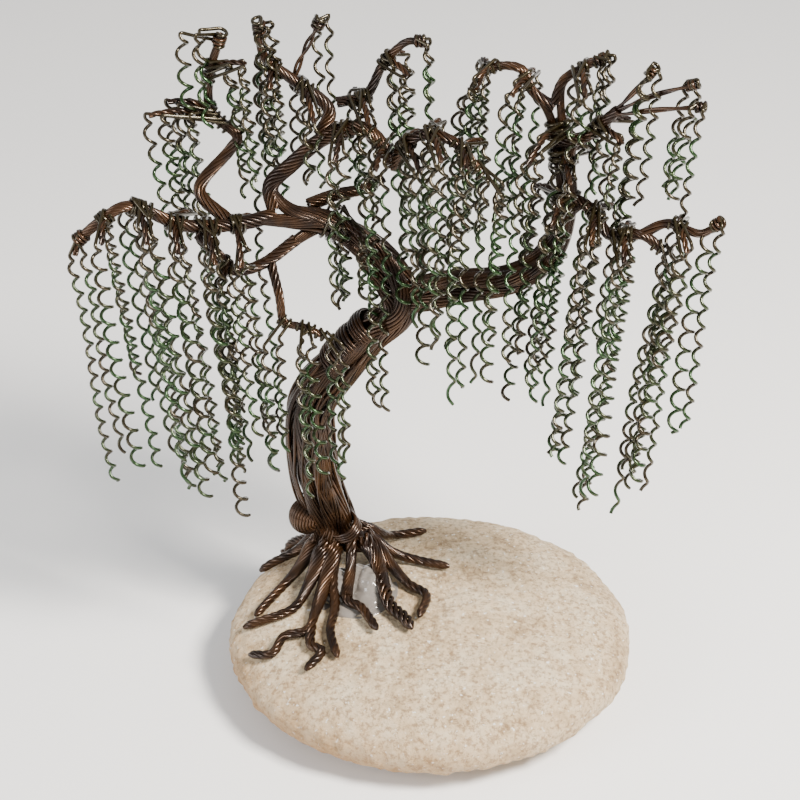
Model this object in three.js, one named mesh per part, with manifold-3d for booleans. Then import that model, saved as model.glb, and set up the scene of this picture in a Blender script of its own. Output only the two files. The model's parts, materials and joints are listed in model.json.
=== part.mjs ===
// A weeping willow twisted out of enamelled copper wire, its roots glued down on a river pebble.
//
// Millimetres, +Z up, the tree's front towards -Y. The origin is the middle of the pebble's flat
// underside. Bundles of wire are solid ropes with a twisted, lobed section. The fine wires that hang
// from the twigs are thin three-sided curls.

import * as THREE from 'three';
import { mergeVertices } from 'three/addons/utils/BufferGeometryUtils.js';
import Module from 'manifold-3d';

const wasm = await Module();
wasm.setup();

// ---- Driving dimensions ---------------------------------------------------------------------

const GAP = 0.3; // clearance between neighbouring solids
const SEAM = 0.05; // facets finer than this are merged where pieces are joined
const GROWN = 0.5; // added to a rope's radius to cut its neighbours clear of its lobes
const PEBBLE = {
  length: 107,
  width: 94,
  waist: 12.3, // height of the widest outline
  crown: 12.7, // from the waist up to the top
  belly: 14.6, // from the waist down to where the round underside would end
  fullness: 2.3, // 2 is an ellipsoid, more is boxier
  sides: 24,
  bands: 12,
};
const ROOT = { radius: 1.5, fat: 2.1, ringEvery: 5.2, lobes: 3, depth: 0.16, twistPerMm: 0.16 };
const GLUE = { x: -19, y: 6, length: 15, width: 17, height: 5 };
const ROPE = { lobes: 3, depth: 0.16, twistPerMm: 0.11 };
const LIMB = { lobes: 6, depth: 0.07, twistPerMm: 0.02 };
const PAIR = { lobes: 2, depth: 0.16, twistPerMm: 0.2 };
const STYLES = {
  trunk: LIMB,
  left_limb: LIMB,
  right_limb: LIMB,
  crown_middle: PAIR,
  outer_spoke_1: PAIR,
  outer_spoke_2: PAIR,
};
const TWIG = { radius: 0.95, sides: 3, stepsPerArm: 2 };
const KNOT = 2.1; // radius of the small coil that ends a twig
const CURL = {
  radius: 0.62, // of the wire's three-sided section
  drop: 4.4, // height between one bend and the next
  swing: 1.5, // how far each bend stands off the middle line
  turn: THREE.MathUtils.degToRad(158), // from one bend round to the next
};

// ---- The tree's routes ----------------------------------------------------------------------
// Each route is the middle line of one bundle of wires, from its thick end to its thin end.

const ROUTES = {
  trunk: [
    [-24, 20, 24.5], [-26, 18, 38], [-30, 16, 53], [-31, 15, 67],
    [-30, 15, 80], [-23, 14, 91], [-15, 14, 101], [-8, 14, 109],
  ],
  left_limb: [[-11, 14, 107], [-13, 17, 118], [-19, 19, 126], [-27, 20, 130], [-37, 18, 132]],
  right_limb: [
    [-8, 14, 109], [4, 11, 116], [19, 10, 119], [28, 11, 126],
    [31, 14, 138], [30, 17, 149], [28, 20, 160],
  ],
  far_left: [
    [-38, 18, 132], [-47, 14, 132], [-59, 10, 134], [-71, 7, 141], [-78, 5, 138], [-83, 4, 134],
  ],
  s_branch: [
    [-49, 14, 133], [-56, 20, 138], [-49, 26, 145], [-47, 27, 149],
    [-53, 29, 154], [-53, 30, 163], [-50, 30, 173],
  ],
  hook: [[-33, 15, 127], [-41, 12, 122], [-48, 9, 122], [-51, 8, 127], [-56, 9, 132]],
  hanging: [[-39, 12, 122], [-37, 7, 116], [-36, 5, 110], [-31, 4, 109], [-26, 3, 107]],
  crown_loop: [
    [-38, 19, 133], [-39, 22, 138], [-34, 23, 143], [-27, 24, 149],
    [-19, 23, 153], [-14, 21, 152], [-10, 18, 147],
  ],
  crown_spur: [[-30, 21, 133], [-24, 24, 134], [-17, 27, 134], [-12, 29, 136]],
  crown_left: [[-27, 25, 150], [-25, 29, 155], [-34, 31, 162], [-40, 32, 167], [-41, 32, 175]],
  crown_middle: [[-33, 32, 162], [-31, 33, 167], [-27, 33, 175]],
  crown_right: [[-23, 30, 156], [-16, 30, 158], [-12, 30, 166], [-7, 29, 172], [-3, 28, 173]],
  arch: [[-10, 17, 146], [-7, 14, 153], [-2, 11, 158], [5, 8, 157], [10, 6, 151]],
  right_inner: [[28, 20, 160], [23, 22, 163], [20, 24, 168], [13, 26, 167], [9, 26, 161]],
  right_top: [[28, 20, 161], [30, 22, 166], [35, 23, 169], [39, 23, 171]],
  right_outer: [[29, 18, 152], [35, 15, 155], [42, 13, 163], [46, 12, 169], [49, 11, 174]],
  outer_spoke_1: [[42.5, 13, 164], [49, 11, 167.5], [58, 8, 172]],
  outer_spoke_2: [[40, 13.5, 161], [49, 9, 165], [60, 5, 168]],
  right_low: [[31, 14, 140], [37, 9, 139], [41, 4, 135], [48, 1, 137], [53, -1, 134]],
  right_low_end: [[48, 1, 137], [54, 1, 140], [61, -2, 139], [65, -4, 143]],
};

// Roots run out over the pebble: places in plan, and the height of each above the stone there.
const ROOTS = {
  back_left: [[-27, 24, 9], [-32, 26, 3], [-41, 33, 0]],
  left: [[-30, 20, 9], [-35, 20, 3], [-46, 19, 0]],
  left_curl: [[-30, 16, 10], [-34, 13, 3], [-39, 8, 0], [-46, -2, 0]],
  left_long: [[-28, 13, 10], [-31, 7, 3], [-35, -1, 0], [-40, -4, 0], [-49, -5, 0]],
  front_left: [[-25, 13, 10], [-27, 7, 3], [-30, -4, 0], [-32, -11, 0], [-38, -12, 0], [-41, -17, 0], [-47, -15, 0]],
  front_tip: [[-31, -9, 0], [-31, -16, 0], [-28, -19, 0], [-32, -24, 0]],
  front_small: [[-26, 8, 3], [-25, -3, 0], [-26, -12, 0], [-24, -21, 0]],
  middle: [[-21, 13, 9], [-21, 8, 3], [-22, -1, 0], [-18, -5, 0], [-14, -13, 0]],
  fat: [[-18, 15, 8], [-14, 10, 3], [-11, -3, 0], [-7, -9, 0], [-5, -13, 0]],
  loop: [[-17, 17, 8], [-12, 12, 3], [-6, 5, 0], [-1, 0, 0], [-3, -8, 0]],
  right: [[-17, 18, 8], [-12, 16, 3], [-4, 15, 0], [5, 12, 0]],
  back_right: [[-19, 22, 8], [-13, 23, 3], [-9, 27, 0], [-1, 29, 0]],
};
const FAT_ROOTS = ['fat', 'middle'];

// Sprays are twigs laid over a branch. Each hangs from a place along its branch, from 0 at the
// thick end to 1 at the tip. An arm is how far the twig reaches out to that side, and the
// height that the wire hanging from its end comes down to.
const SPRAYS = {
  spray_far_left_tip: ['far_left', 1, [[[-1, -3, -3], 68]]],
  spray_far_left_outer: ['far_left', 0.76, [[[0, -9, -2], 80], [[1, 9, -4], 84]]],
  spray_left_outer: ['far_left', 0.56, [[[3, -12, -3], 62], [[-4, 10, -5], 60]]],
  spray_left_middle: ['far_left', 0.44, [[[2, -10, -3], 64], [[3, 11, -4], 58]]],
  spray_left_inner: ['far_left', 0.32, [[[3, -13, -3], 60]]],
  spray_left_last: ['far_left', 0.2, [[[2, -14, -4], 72], [[3, 10, -4], 60]]],
  spray_hook: ['hook', 0.62, [[[0, -6, -1], 80]]],
  spray_upper_left_1: ['s_branch', 0.68, [[[-10, -2, 3], 112]]],
  spray_upper_left_2: ['s_branch', 0.62, [[[-16, -6, 4], 122]]],
  spray_top_left_side: ['s_branch', 0.86, [[[9, -5, 4], 134]]],
  spray_crown_left: ['crown_left', 0.66, [[[0, -9, -2], 144], [[-4, 8, -2], 136]]],
  spray_crown_front: ['crown_left', 0.42, [[[3, -13, -3], 139], [[-2, 9, -2], 134]]],
  spray_crown_right_front: ['crown_right', 0.2, [[[2, -13, -1], 131], [[-2, 8, -2], 132]]],
  spray_crown_right_side: ['crown_right', 0.55, [[[5, -7, -1], 134], [[4, 7, -2], 134]]],
  spray_loop: ['crown_loop', 0.62, [[[-2, -14, -1], 113]]],
  spray_fork: ['crown_loop', 0.93, [[[-2, -14, 2], 84]]],
  spray_left_limb: ['left_limb', 0.68, [[[9, -12, 1], 112]]],
  spray_arch_1: ['arch', 0.28, [[[3, -11, -1], 116], [[3, 10, -2], 112]]],
  spray_arch_2: ['arch', 0.55, [[[2, -12, -1], 104], [[2, 10, -2], 113]]],
  spray_arch_3: ['arch', 0.8, [[[1, -8, -1], 96], [[5, 7, -2], 129]]],
  spray_right_inner_1: ['right_inner', 0.38, [[[-4, -9, 0], 126], [[2, 8, -2], 128]]],
  spray_right_inner_2: ['right_inner', 0.74, [[[-3, -6, 0], 122], [[-2, 8, -2], 124]]],
  spray_right_limb_1: ['right_limb', 0.93, [[[-8, -17, -1], 92], [[3, 10, -3], 120]]],
  spray_right_limb_2: ['right_limb', 0.83, [[[1, -14, 0], 90], [[8, 9, -3], 106]]],
  spray_right_limb_3: ['right_limb', 0.68, [[[-4, -14, 0], 92], [[-7, 11, -3], 104]]],
  spray_right_top: ['right_top', 0.6, [[[0, -13, -1], 151], [[5, 8, -2], 142]]],
  spray_right_outer: ['right_outer', 0.36, [[[5, -7, -1], 143], [[8, 7, -2], 134]]],
  spray_right_low_1: ['right_low', 0.3, [[[-2, -13, -1], 80], [[5, 9, -3], 102]]],
  spray_right_low_2: ['right_low', 0.62, [[[-1, -11, -1], 66], [[2, 9, -2], 92]]],
  spray_right_low_3: ['right_low_end', 0.45, [[[1, -9, -2], 72], [[2, 9, -3], 88]]],
};

// Wires that hang from the tips of the branches themselves: reach past the tip, and foot height.
const TIPS = {
  hanging: [['hanging', 0.52, [-4, -5, -4], 70], ['hanging', 0.78, [0, -8, -1], 66], ['hanging', 1, [4, -4, -2], 66]],
  s_branch: [['s_branch', 1, [-8, -5, 3], 159]],
  crown_left: [['crown_left', 1, [6, 1, 0], 136], ['crown_middle', 1, [1, 3, 1], 150]],
  crown_right: [['crown_right', 1, [2, -1, 0], 155]],
  arch: [['arch', 1, [6, -5, -3], 98]],
  right_inner: [['right_inner', 1, [-3, 0, -3], 117]],
  right_top: [['right_top', 1, [2, -2, 1], 148]],
  right_outer: [
    ['right_outer', 1, [0, -2, 0], 136],
    ['outer_spoke_1', 1, [0, 2, 0], 140],
    ['outer_spoke_2', 1, [-2, -2, 0], 145],
  ],
  right_low: [['right_low', 1, [2, -3, -2], 64], ['right_low_end', 1, [-1, -1, 0], 88]],
};

// Radius of each bundle at its thick end and at its thin end.
const GIRTH = {
  trunk: [7.1, 5.6],
  left_limb: [5.5, 3.4],
  right_limb: [4.8, 2.2],
  far_left: [1.9, 1.2],
  s_branch: [1.7, 1.0],
  hook: [1.6, 1.2],
  hanging: [1.3, 0.9],
  crown_loop: [2.1, 1.7],
  crown_spur: [1.8, 1.8],
  crown_left: [1.8, 1.0],
  crown_middle: [0.9, 0.9],
  crown_right: [1.4, 0.9],
  arch: [1.5, 1.2],
  right_inner: [1.4, 0.9],
  right_top: [1.4, 0.9],
  right_outer: [1.7, 0.8],
  outer_spoke_1: [0.8, 0.8],
  outer_spoke_2: [0.8, 0.8],
  right_low: [1.6, 1.2],
  right_low_end: [1.3, 0.9],
};

// Rings along each bundle.
const STEPS = {
  trunk: 13,
  left_limb: 6,
  right_limb: 10,
  far_left: 12,
  s_branch: 11,
  hook: 7,
  hanging: 6,
  crown_loop: 9,
  crown_spur: 4,
  crown_left: 7,
  crown_middle: 3,
  crown_right: 7,
  arch: 6,
  right_inner: 7,
  right_top: 4,
  right_outer: 6,
  outer_spoke_1: 3,
  outer_spoke_2: 3,
  right_low: 6,
  right_low_end: 4,
};

// Each bundle is made of these ropes, and is cut clear of the bundles it leaves.
const BRANCHES = {
  left_limb: [['left_limb'], ['trunk']],
  right_limb: [['right_limb'], ['trunk', 'left_limb']],
  far_left: [['far_left'], ['left_limb']],
  s_branch: [['s_branch'], ['far_left']],
  hook: [['hook'], ['left_limb', 'far_left']],
  hanging: [['hanging'], ['hook']],
  crown_loop: [['crown_loop'], ['left_limb', 'far_left']],
  crown_spur: [['crown_spur'], ['left_limb']],
  crown_left: [['crown_left', 'crown_middle'], ['crown_loop']],
  crown_right: [['crown_right'], ['crown_left']],
  arch: [['arch'], ['crown_loop']],
  right_inner: [['right_inner'], ['right_limb']],
  right_top: [['right_top'], ['right_limb', 'right_inner']],
  right_outer: [['right_outer', 'outer_spoke_1', 'outer_spoke_2'], ['right_limb']],
  right_low: [['right_low', 'right_low_end'], ['right_limb']],
};

// ---- Materials ------------------------------------------------------------------------------

const stone = new THREE.MeshStandardMaterial({ color: '#d9c7b2', roughness: 0.85, metalness: 0 });
const hotGlue = new THREE.MeshStandardMaterial({ color: '#8d8378', roughness: 0.25, metalness: 0 });
const brownWire = new THREE.MeshStandardMaterial({ color: '#4a2f1b', roughness: 0.35, metalness: 0.8 });
const greenWire = new THREE.MeshStandardMaterial({ color: '#2f4a24', roughness: 0.3, metalness: 0.8 });

// ---- Shared helpers -------------------------------------------------------------------------

const UP = new THREE.Vector3(0, 0, 1);
const vector = ([x, y, z]) => new THREE.Vector3(x, y, z);

// A repeatable number between -1 and 1, so that no two hanging wires are quite alike.
function vary(index, salt) {
  const raw = Math.sin(index * 12.9898 + salt * 78.233) * 43758.5453;
  return 2 * (raw - Math.floor(raw)) - 1;
}

function curveOf(route) {
  return new THREE.CatmullRomCurve3(route.map(vector), false, 'catmullrom', 0.5);
}

// One closed body along a row of ring centres. A lobed section reads as strands side by side,
// and the twist lays them round each other.
function sweep(centres, { sides, radius, lobes = 0, depth = 0, twist = 0 }) {
  const steps = centres.length - 1;
  const body = new THREE.CylinderGeometry(1, 1, 1, sides, steps);
  body.deleteAttribute('normal');
  body.deleteAttribute('uv');
  const solid = mergeVertices(body);
  const frames = framesAlong(centres);
  const spot = solid.attributes.position;
  for (let i = 0; i < spot.count; i += 1) {
    const ring = Math.round((0.5 - spot.getY(i)) * steps);
    const angle = Math.atan2(spot.getZ(i), spot.getX(i));
    const onWall = Math.hypot(spot.getX(i), spot.getZ(i));
    const reach = onWall * radius(ring / steps, ring) * (1 + depth * Math.cos(lobes * angle));
    const turned = angle + (twist * ring) / steps;
    const { across, over } = frames[ring];
    const place = centres[ring].clone();
    place.addScaledVector(across, reach * Math.cos(turned));
    place.addScaledVector(over, reach * Math.sin(turned));
    spot.setXYZ(i, place.x, place.y, place.z);
  }
  return solid;
}

// Two directions across the route at each ring, carried along it without spinning.
function framesAlong(centres) {
  const frames = [];
  let across = new THREE.Vector3(1, 0, 0);
  centres.forEach((centre, ring) => {
    const before = centres[Math.max(ring - 1, 0)];
    const after = centres[Math.min(ring + 1, centres.length - 1)];
    const along = after.clone().sub(before).normalize();
    if (ring === 0 && Math.abs(along.x) > 0.9) across = new THREE.Vector3(0, 1, 0);
    across = across.clone().addScaledVector(along, -across.dot(along)).normalize();
    frames.push({ across, over: along.clone().cross(across) });
  });
  return frames;
}

function toSolid(geometry) {
  return new wasm.Manifold(new wasm.Mesh({
    numProp: 3,
    vertProperties: geometry.attributes.position.array,
    triVerts: new Uint32Array(geometry.index.array),
  }));
}

function toGeometry(solid) {
  const { vertProperties, triVerts } = solid.getMesh();
  const geometry = new THREE.BufferGeometry();
  geometry.setAttribute('position', new THREE.BufferAttribute(vertProperties, 3));
  geometry.setIndex(new THREE.BufferAttribute(triVerts, 1));
  geometry.computeVertexNormals();
  return geometry;
}

const joined = (geometries) => geometries.map(toSolid).reduce((sum, piece) => sum.add(piece));

// ---- Pebble and glue ------------------------------------------------------------------------

// Height of the dome at a share of the way out from its middle.
function dome(share) {
  return (1 - Math.min(share, 1) ** PEBBLE.fullness) ** (1 / PEBBLE.fullness);
}

function stoneTop(x, y) {
  const share = Math.hypot(x / (PEBBLE.length / 2), y / (PEBBLE.width / 2));
  return PEBBLE.waist + PEBBLE.crown * dome(share);
}

function pebble() {
  const ball = new THREE.SphereGeometry(1, PEBBLE.sides, PEBBLE.bands).rotateX(Math.PI / 2);
  ball.deleteAttribute('normal');
  ball.deleteAttribute('uv');
  const solid = mergeVertices(ball);
  const spot = solid.attributes.position;
  for (let i = 0; i < spot.count; i += 1) {
    const share = Math.hypot(spot.getX(i), spot.getY(i));
    const above = spot.getZ(i) > 0;
    const rise = dome(share) * (above ? PEBBLE.crown : -PEBBLE.belly);
    const height = Math.max(PEBBLE.waist + (share > 0.9999 ? 0 : rise), 0);
    spot.setXYZ(i, spot.getX(i) * (PEBBLE.length / 2), spot.getY(i) * (PEBBLE.width / 2), height);
  }
  return toSolid(solid);
}

const raisedPebble = () => pebble().translate([0, 0, GAP]);

// ---- Ropes ----------------------------------------------------------------------------------

function rope(centres, radius, { lobes, depth, twistPerMm }) {
  const length = centres.slice(1).reduce((sum, centre, i) => sum + centre.distanceTo(centres[i]), 0);
  return sweep(centres, { sides: lobes * 2, lobes, depth, twist: twistPerMm * length, radius });
}

// The trunk tapers in between the roots that leave it at its foot.
function trunkTaper(t) {
  return -2.6 * Math.max(0, 1 - t / 0.14);
}

// A bundle of the tree. Grown, it is the space that its neighbours keep clear of.
function bundle(name, grown = 0) {
  const [thick, thin] = GIRTH[name];
  const shaped = name === 'trunk' ? trunkTaper : () => 0;
  const radius = (t) => THREE.MathUtils.lerp(thick, thin, t) + shaped(t) + grown;
  const curve = curveOf(ROUTES[name]);
  const centres = curve.getSpacedPoints(STEPS[name]);
  centres[0].addScaledVector(curve.getTangent(0), -grown);
  centres.at(-1).addScaledVector(curve.getTangent(1), grown);
  return toSolid(rope(centres, radius, STYLES[name] ?? ROPE));
}

// What is left of a solid beside its neighbours.
function cutClear(solid, neighbours) {
  return neighbours.reduce((rest, name) => rest.subtract(bundle(name, GROWN)), solid);
}

function closed(geometry) {
  geometry.deleteAttribute('normal');
  geometry.deleteAttribute('uv');
  return mergeVertices(geometry);
}

// A root rope leaves the trunk's foot and comes down to lie on the pebble.
function root(name, grown = 0) {
  const thick = FAT_ROOTS.includes(name) ? ROOT.fat : ROOT.radius;
  const rest = thick * (1 + ROOT.depth) + GAP;
  const plan = curveOf(ROOTS[name]);
  const centres = plan.getSpacedPoints(Math.round(plan.getLength() / ROOT.ringEvery));
  centres.forEach((centre) => centre.setZ(centre.z + stoneTop(centre.x, centre.y) + rest));
  return rope(centres, (t) => thick * (1 - 0.2 * t) + grown, ROOT);
}

// The trunk runs out into its roots. It carries a burl of looped wires low on its left side, and
// is bound by a few turns of wire on the right.
function trunk() {
  const burl = new THREE.SphereGeometry(4.6, 8, 6).scale(0.9, 0.9, 1.1).translate(-32.5, 16.5, 41);
  const binding = new THREE.TorusGeometry(6.9, 1.3, 4, 11).scale(0.9, 1, 1.6);
  binding.rotateY(0.35).translate(-23.8, 18, 36);
  const roots = Object.keys(ROOTS).map((name) => root(name));
  return bundle('trunk').add(joined([closed(burl), closed(binding), ...roots])).subtract(raisedPebble());
}

// A pad of set glue fills the space between the roots at the front of the trunk's foot.
function gluePad() {
  const blob = new THREE.SphereGeometry(1, 12, 7).rotateX(Math.PI / 2);
  blob.scale(GLUE.length / 2, GLUE.width / 2, GLUE.height);
  blob.translate(GLUE.x, GLUE.y, stoneTop(GLUE.x, GLUE.y));
  const room = GROWN + SEAM * 3;
  const roots = Object.keys(ROOTS).map((name) => root(name, room));
  return toSolid(closed(blob)).subtract(raisedPebble()).subtract(joined(roots)).subtract(bundle('trunk', room));
}

// ---- Sprays of hanging wires ----------------------------------------------------------------

function placeOn(branchName, share) {
  return curveOf(ROUTES[branchName]).getPoint(share);
}

function radiusOn(branchName, share) {
  const [thick, thin] = GIRTH[branchName];
  return THREE.MathUtils.lerp(thick, thin, share);
}

// The bends of a curl that drops straight down from its top, wide after its first two bends.
function curl(top, foot, index) {
  const bends = Math.max(3, Math.round((top.z - foot) / CURL.drop));
  const start = Math.PI * vary(index, 1);
  return Array.from({ length: bends }, (_, i) => {
    const bend = i + 1;
    const swing = CURL.swing * Math.min(1, bend / 2);
    const angle = start + CURL.turn * bend;
    const height = THREE.MathUtils.lerp(top.z, foot, bend / bends);
    return new THREE.Vector3(top.x + swing * Math.cos(angle), top.y + swing * Math.sin(angle), height);
  });
}

// One bent wire: the curls at its ends are thinner than the twig between them.
function wire(curlBefore, twig, curlAfter) {
  const curve = new THREE.CatmullRomCurve3(twig, false, 'catmullrom', 0.5);
  const steps = (twig.length - 1) * TWIG.stepsPerArm;
  const centres = [...curlBefore.toReversed(), ...curve.getSpacedPoints(steps), ...curlAfter];
  const isTwig = (ring) => ring >= curlBefore.length && ring <= curlBefore.length + steps;
  const radius = (_, ring) => (isTwig(ring) ? TWIG.radius : CURL.radius);
  return toSolid(sweep(centres, { sides: TWIG.sides, radius }));
}

// Where a twig meets its branch. Past the tip it leads straight on. With two arms it crosses
// square to the branch, above it if it can. With one arm it starts on the upper side facing it.
function saddleOf(branchName, share, ends) {
  const middle = placeOn(branchName, share);
  const along = curveOf(ROUTES[branchName]).getTangent(share);
  const aim = ends[0].clone().sub(ends[1] ?? middle).normalize();
  const off = along.clone();
  if (share < 1 && ends.length === 2) off.cross(aim);
  if (share < 1 && ends.length === 1) off.copy(aim).add(UP).addScaledVector(along, -along.dot(aim) - along.z);
  if (share < 1 && off.z < 0) off.negate();
  const clearance = radiusOn(branchName, share) * (1 + ROPE.depth) + GAP + TWIG.radius * 1.15;
  return middle.addScaledVector(off.normalize(), clearance);
}

// A twig that lies over its branch, with one or two arms, and a curl hanging from each arm's end.
function spray([branchName, share, arms], index) {
  const ends = arms.map(([reach]) => placeOn(branchName, share).add(vector(reach)));
  const curls = ends.map((end, arm) => curl(end, arms[arm][1], index * 2 + arm));
  const saddle = saddleOf(branchName, share, ends);
  const twoArms = ends.length === 2;
  const solid = twoArms
    ? wire(curls[0], [ends[0], saddle, ends[1]], curls[1])
    : wire([], [saddle, ends[0]], curls[0]);
  return cutClear(solid, [branchName]);
}

// A branch with the wires that hang from its own tips, each from a small coiled knot.
function branch([ropes, neighbours], tips = []) {
  const body = ropes.map((name) => bundle(name)).reduce((sum, piece) => sum.add(piece));
  const hanging = tips.map(([routeName, share, reach, foot], index) => {
    const start = placeOn(routeName, share);
    const end = start.clone().add(vector(reach));
    const knot = new THREE.OctahedronGeometry(KNOT).rotateX(0.4).rotateY(0.7);
    knot.translate(start.x, start.y, start.z);
    const curled = wire([], [start, end], curl(end, foot, 100 + index));
    return share === 1 ? toSolid(closed(knot)).add(curled) : curled;
  });
  return cutClear(hanging.reduce((sum, piece) => sum.add(piece), body), neighbours);
}

// ---- Assembly -------------------------------------------------------------------------------

const tree = new THREE.Group();

// Scraps that a cut leaves beyond a neighbour are dropped.
function add(name, solid, material) {
  const pieces = solid.simplify(SEAM).decompose();
  const [main] = pieces.sort((one, other) => other.volume() - one.volume());
  const mesh = new THREE.Mesh(toGeometry(main), material);
  mesh.name = name;
  tree.add(mesh);
}

add('pebble', pebble(), stone);
add('glue', gluePad(), hotGlue);
add('trunk', trunk(), brownWire);

for (const [name, plan] of Object.entries(BRANCHES)) {
  add(name, branch(plan, TIPS[name]), brownWire);
}

Object.entries(SPRAYS).forEach(([name, plan], index) => add(name, spray(plan, index), greenWire));

export default tree;
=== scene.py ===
# %% [markdown]
# # A weeping willow of twisted wire on a pebble
#
# The tree is one bundle of about 120 enamelled copper wires, each 0.8 mm thick. A maker holds the
# whole bundle at the middle, twists it into a trunk, and keeps parting it: two limbs, then branches,
# then twigs. Every wire ends as a coil that was wound on a thin rod and pulled open, so that it
# hangs like a willow's leaves. Below the trunk the same wires part again into roots, and hot glue
# holds the roots on a river pebble.
#
# The lesson follows that order: first the tools that draw a wire, then trunk, branches, roots and
# hanging coils, and then the stone, the glue and the studio.

import json
import math

import bpy
import numpy as np
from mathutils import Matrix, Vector

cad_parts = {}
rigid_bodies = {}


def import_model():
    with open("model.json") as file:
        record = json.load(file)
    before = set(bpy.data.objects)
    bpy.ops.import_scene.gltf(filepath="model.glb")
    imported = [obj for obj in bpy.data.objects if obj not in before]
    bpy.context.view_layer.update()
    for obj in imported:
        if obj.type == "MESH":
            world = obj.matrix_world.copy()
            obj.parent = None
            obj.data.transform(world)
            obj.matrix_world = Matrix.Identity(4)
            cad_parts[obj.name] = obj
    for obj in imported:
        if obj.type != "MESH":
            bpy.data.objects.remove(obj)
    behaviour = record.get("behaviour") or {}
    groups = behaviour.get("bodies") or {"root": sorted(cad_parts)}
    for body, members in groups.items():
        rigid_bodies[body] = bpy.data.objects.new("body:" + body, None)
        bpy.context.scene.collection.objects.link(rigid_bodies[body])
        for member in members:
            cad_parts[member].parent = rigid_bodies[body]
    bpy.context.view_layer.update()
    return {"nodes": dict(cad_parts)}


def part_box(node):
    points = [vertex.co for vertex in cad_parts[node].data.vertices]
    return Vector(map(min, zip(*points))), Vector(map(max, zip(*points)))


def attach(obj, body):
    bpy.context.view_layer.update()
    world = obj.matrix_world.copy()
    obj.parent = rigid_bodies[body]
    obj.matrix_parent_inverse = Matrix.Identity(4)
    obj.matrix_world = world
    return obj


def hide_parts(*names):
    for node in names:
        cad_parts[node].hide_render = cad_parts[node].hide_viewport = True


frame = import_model()
MM = 0.001
print("frame loaded:", len(frame["nodes"]), "nodes")

# %% [markdown]
# ## The tree's routes
#
# Each branch follows a middle line, given as a few points in millimetres from the middle of the
# pebble's underside. The numbers are the same as those of the solid parts, so that the fine wires
# lie where the solid ropes are. They could be read off the solids instead, but a short table is
# easier to change. The second table gives each branch's radius at its two ends.

# %% Routes and radii
ROUTES = {
    "trunk": [
        (-24, 20, 24), (-26, 18, 38), (-30, 16, 53), (-31, 15, 67), (-30, 15, 80), (-23, 14, 91),
        (-15, 14, 101), (-8, 14, 109),
    ],
    "left_limb": [(-8, 14, 109), (-12, 17, 119), (-19, 19, 126), (-27, 20, 130), (-37, 18, 132)],
    "right_limb": [
        (-8, 14, 109), (4, 11, 116), (19, 10, 119), (28, 11, 126), (31, 14, 138), (30, 17, 149),
        (28, 20, 160),
    ],
    "far_left": [
        (-38, 18, 132), (-47, 14, 132), (-59, 10, 134), (-71, 7, 141), (-78, 5, 138),
        (-83, 4, 134),
    ],
    "s_branch": [
        (-49, 14, 133), (-56, 20, 138), (-49, 26, 145), (-47, 27, 149), (-53, 29, 154),
        (-53, 30, 163), (-50, 30, 173),
    ],
    "hook": [(-33, 15, 127), (-41, 12, 122), (-48, 9, 122), (-51, 8, 127), (-56, 9, 132)],
    "hanging": [(-39, 12, 122), (-37, 7, 116), (-36, 5, 110), (-31, 4, 109), (-26, 3, 107)],
    "crown_loop": [
        (-38, 19, 133), (-39, 22, 138), (-34, 23, 143), (-27, 24, 149), (-19, 23, 153),
        (-14, 21, 152), (-10, 18, 147),
    ],
    "crown_spur": [(-30, 21, 133), (-24, 24, 134), (-17, 27, 134), (-12, 29, 136)],
    "crown_left": [
        (-27, 25, 150), (-25, 29, 155), (-34, 31, 162), (-40, 32, 167), (-41, 32, 175),
    ],
    "crown_middle": [(-33, 32, 162), (-31, 33, 167), (-27, 33, 175)],
    "crown_right": [(-23, 30, 156), (-16, 30, 158), (-12, 30, 166), (-7, 29, 172), (-3, 28, 173)],
    "arch": [(-10, 17, 146), (-7, 14, 153), (-2, 11, 158), (5, 8, 157), (10, 6, 151)],
    "right_inner": [(28, 20, 160), (23, 22, 163), (20, 24, 168), (13, 26, 167), (9, 26, 161)],
    "right_top": [(28, 20, 161), (30, 22, 166), (35, 23, 169), (39, 23, 171)],
    "right_outer": [(29, 18, 152), (35, 15, 155), (42, 13, 163)],
    "spoke_up": [(41, 13.5, 162), (46, 12, 169), (49, 11, 174)],
    "spoke_middle": [(41, 13.5, 162), (49, 11, 167.5), (58, 8, 172)],
    "spoke_low": [(40, 13.5, 161), (49, 9, 165), (60, 5, 168)],
    "right_low": [(31, 14, 140), (37, 9, 139), (41, 4, 135), (48, 1, 137), (53, -1, 134)],
    "right_low_end": [(48, 1, 137), (54, 1, 140), (61, -2, 139), (65, -4, 143)],
}
GIRTH = {
    "trunk": (7.1, 5.6), "left_limb": (5.5, 3.4), "right_limb": (4.8, 2.2),
    "far_left": (1.9, 1.2), "s_branch": (1.7, 1.0), "hook": (1.6, 1.2), "hanging": (1.3, 0.9),
    "crown_loop": (2.1, 1.7), "crown_spur": (1.8, 1.3), "crown_left": (1.8, 1.0),
    "crown_middle": (0.9, 0.9), "crown_right": (1.4, 0.9), "arch": (1.5, 1.2),
    "right_inner": (1.4, 0.9), "right_top": (1.4, 0.9), "right_outer": (1.7, 1.3),
    "spoke_up": (0.75, 0.65), "spoke_middle": (0.75, 0.65), "spoke_low": (0.75, 0.65),
    "right_low": (1.6, 1.2), "right_low_end": (1.3, 0.9),
}
WIRE = 0.42  # radius of one wire, mm
radii = [radius for ends in GIRTH.values() for radius in ends]
print("routes:", len(ROUTES), "with radii from", min(radii), "to", max(radii), "mm")

# %% [markdown]
# ## Tools for lines
#
# A twisted wire has no sharp corners, so each route is drawn as a smooth curve that passes through
# its points. The other tools find a place and a heading on a route, measure a line, space its
# points evenly, and carry a pair of sideways directions along it. `vary` gives small, repeatable
# differences, because no two turns of a hand-made tree are the same.

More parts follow.
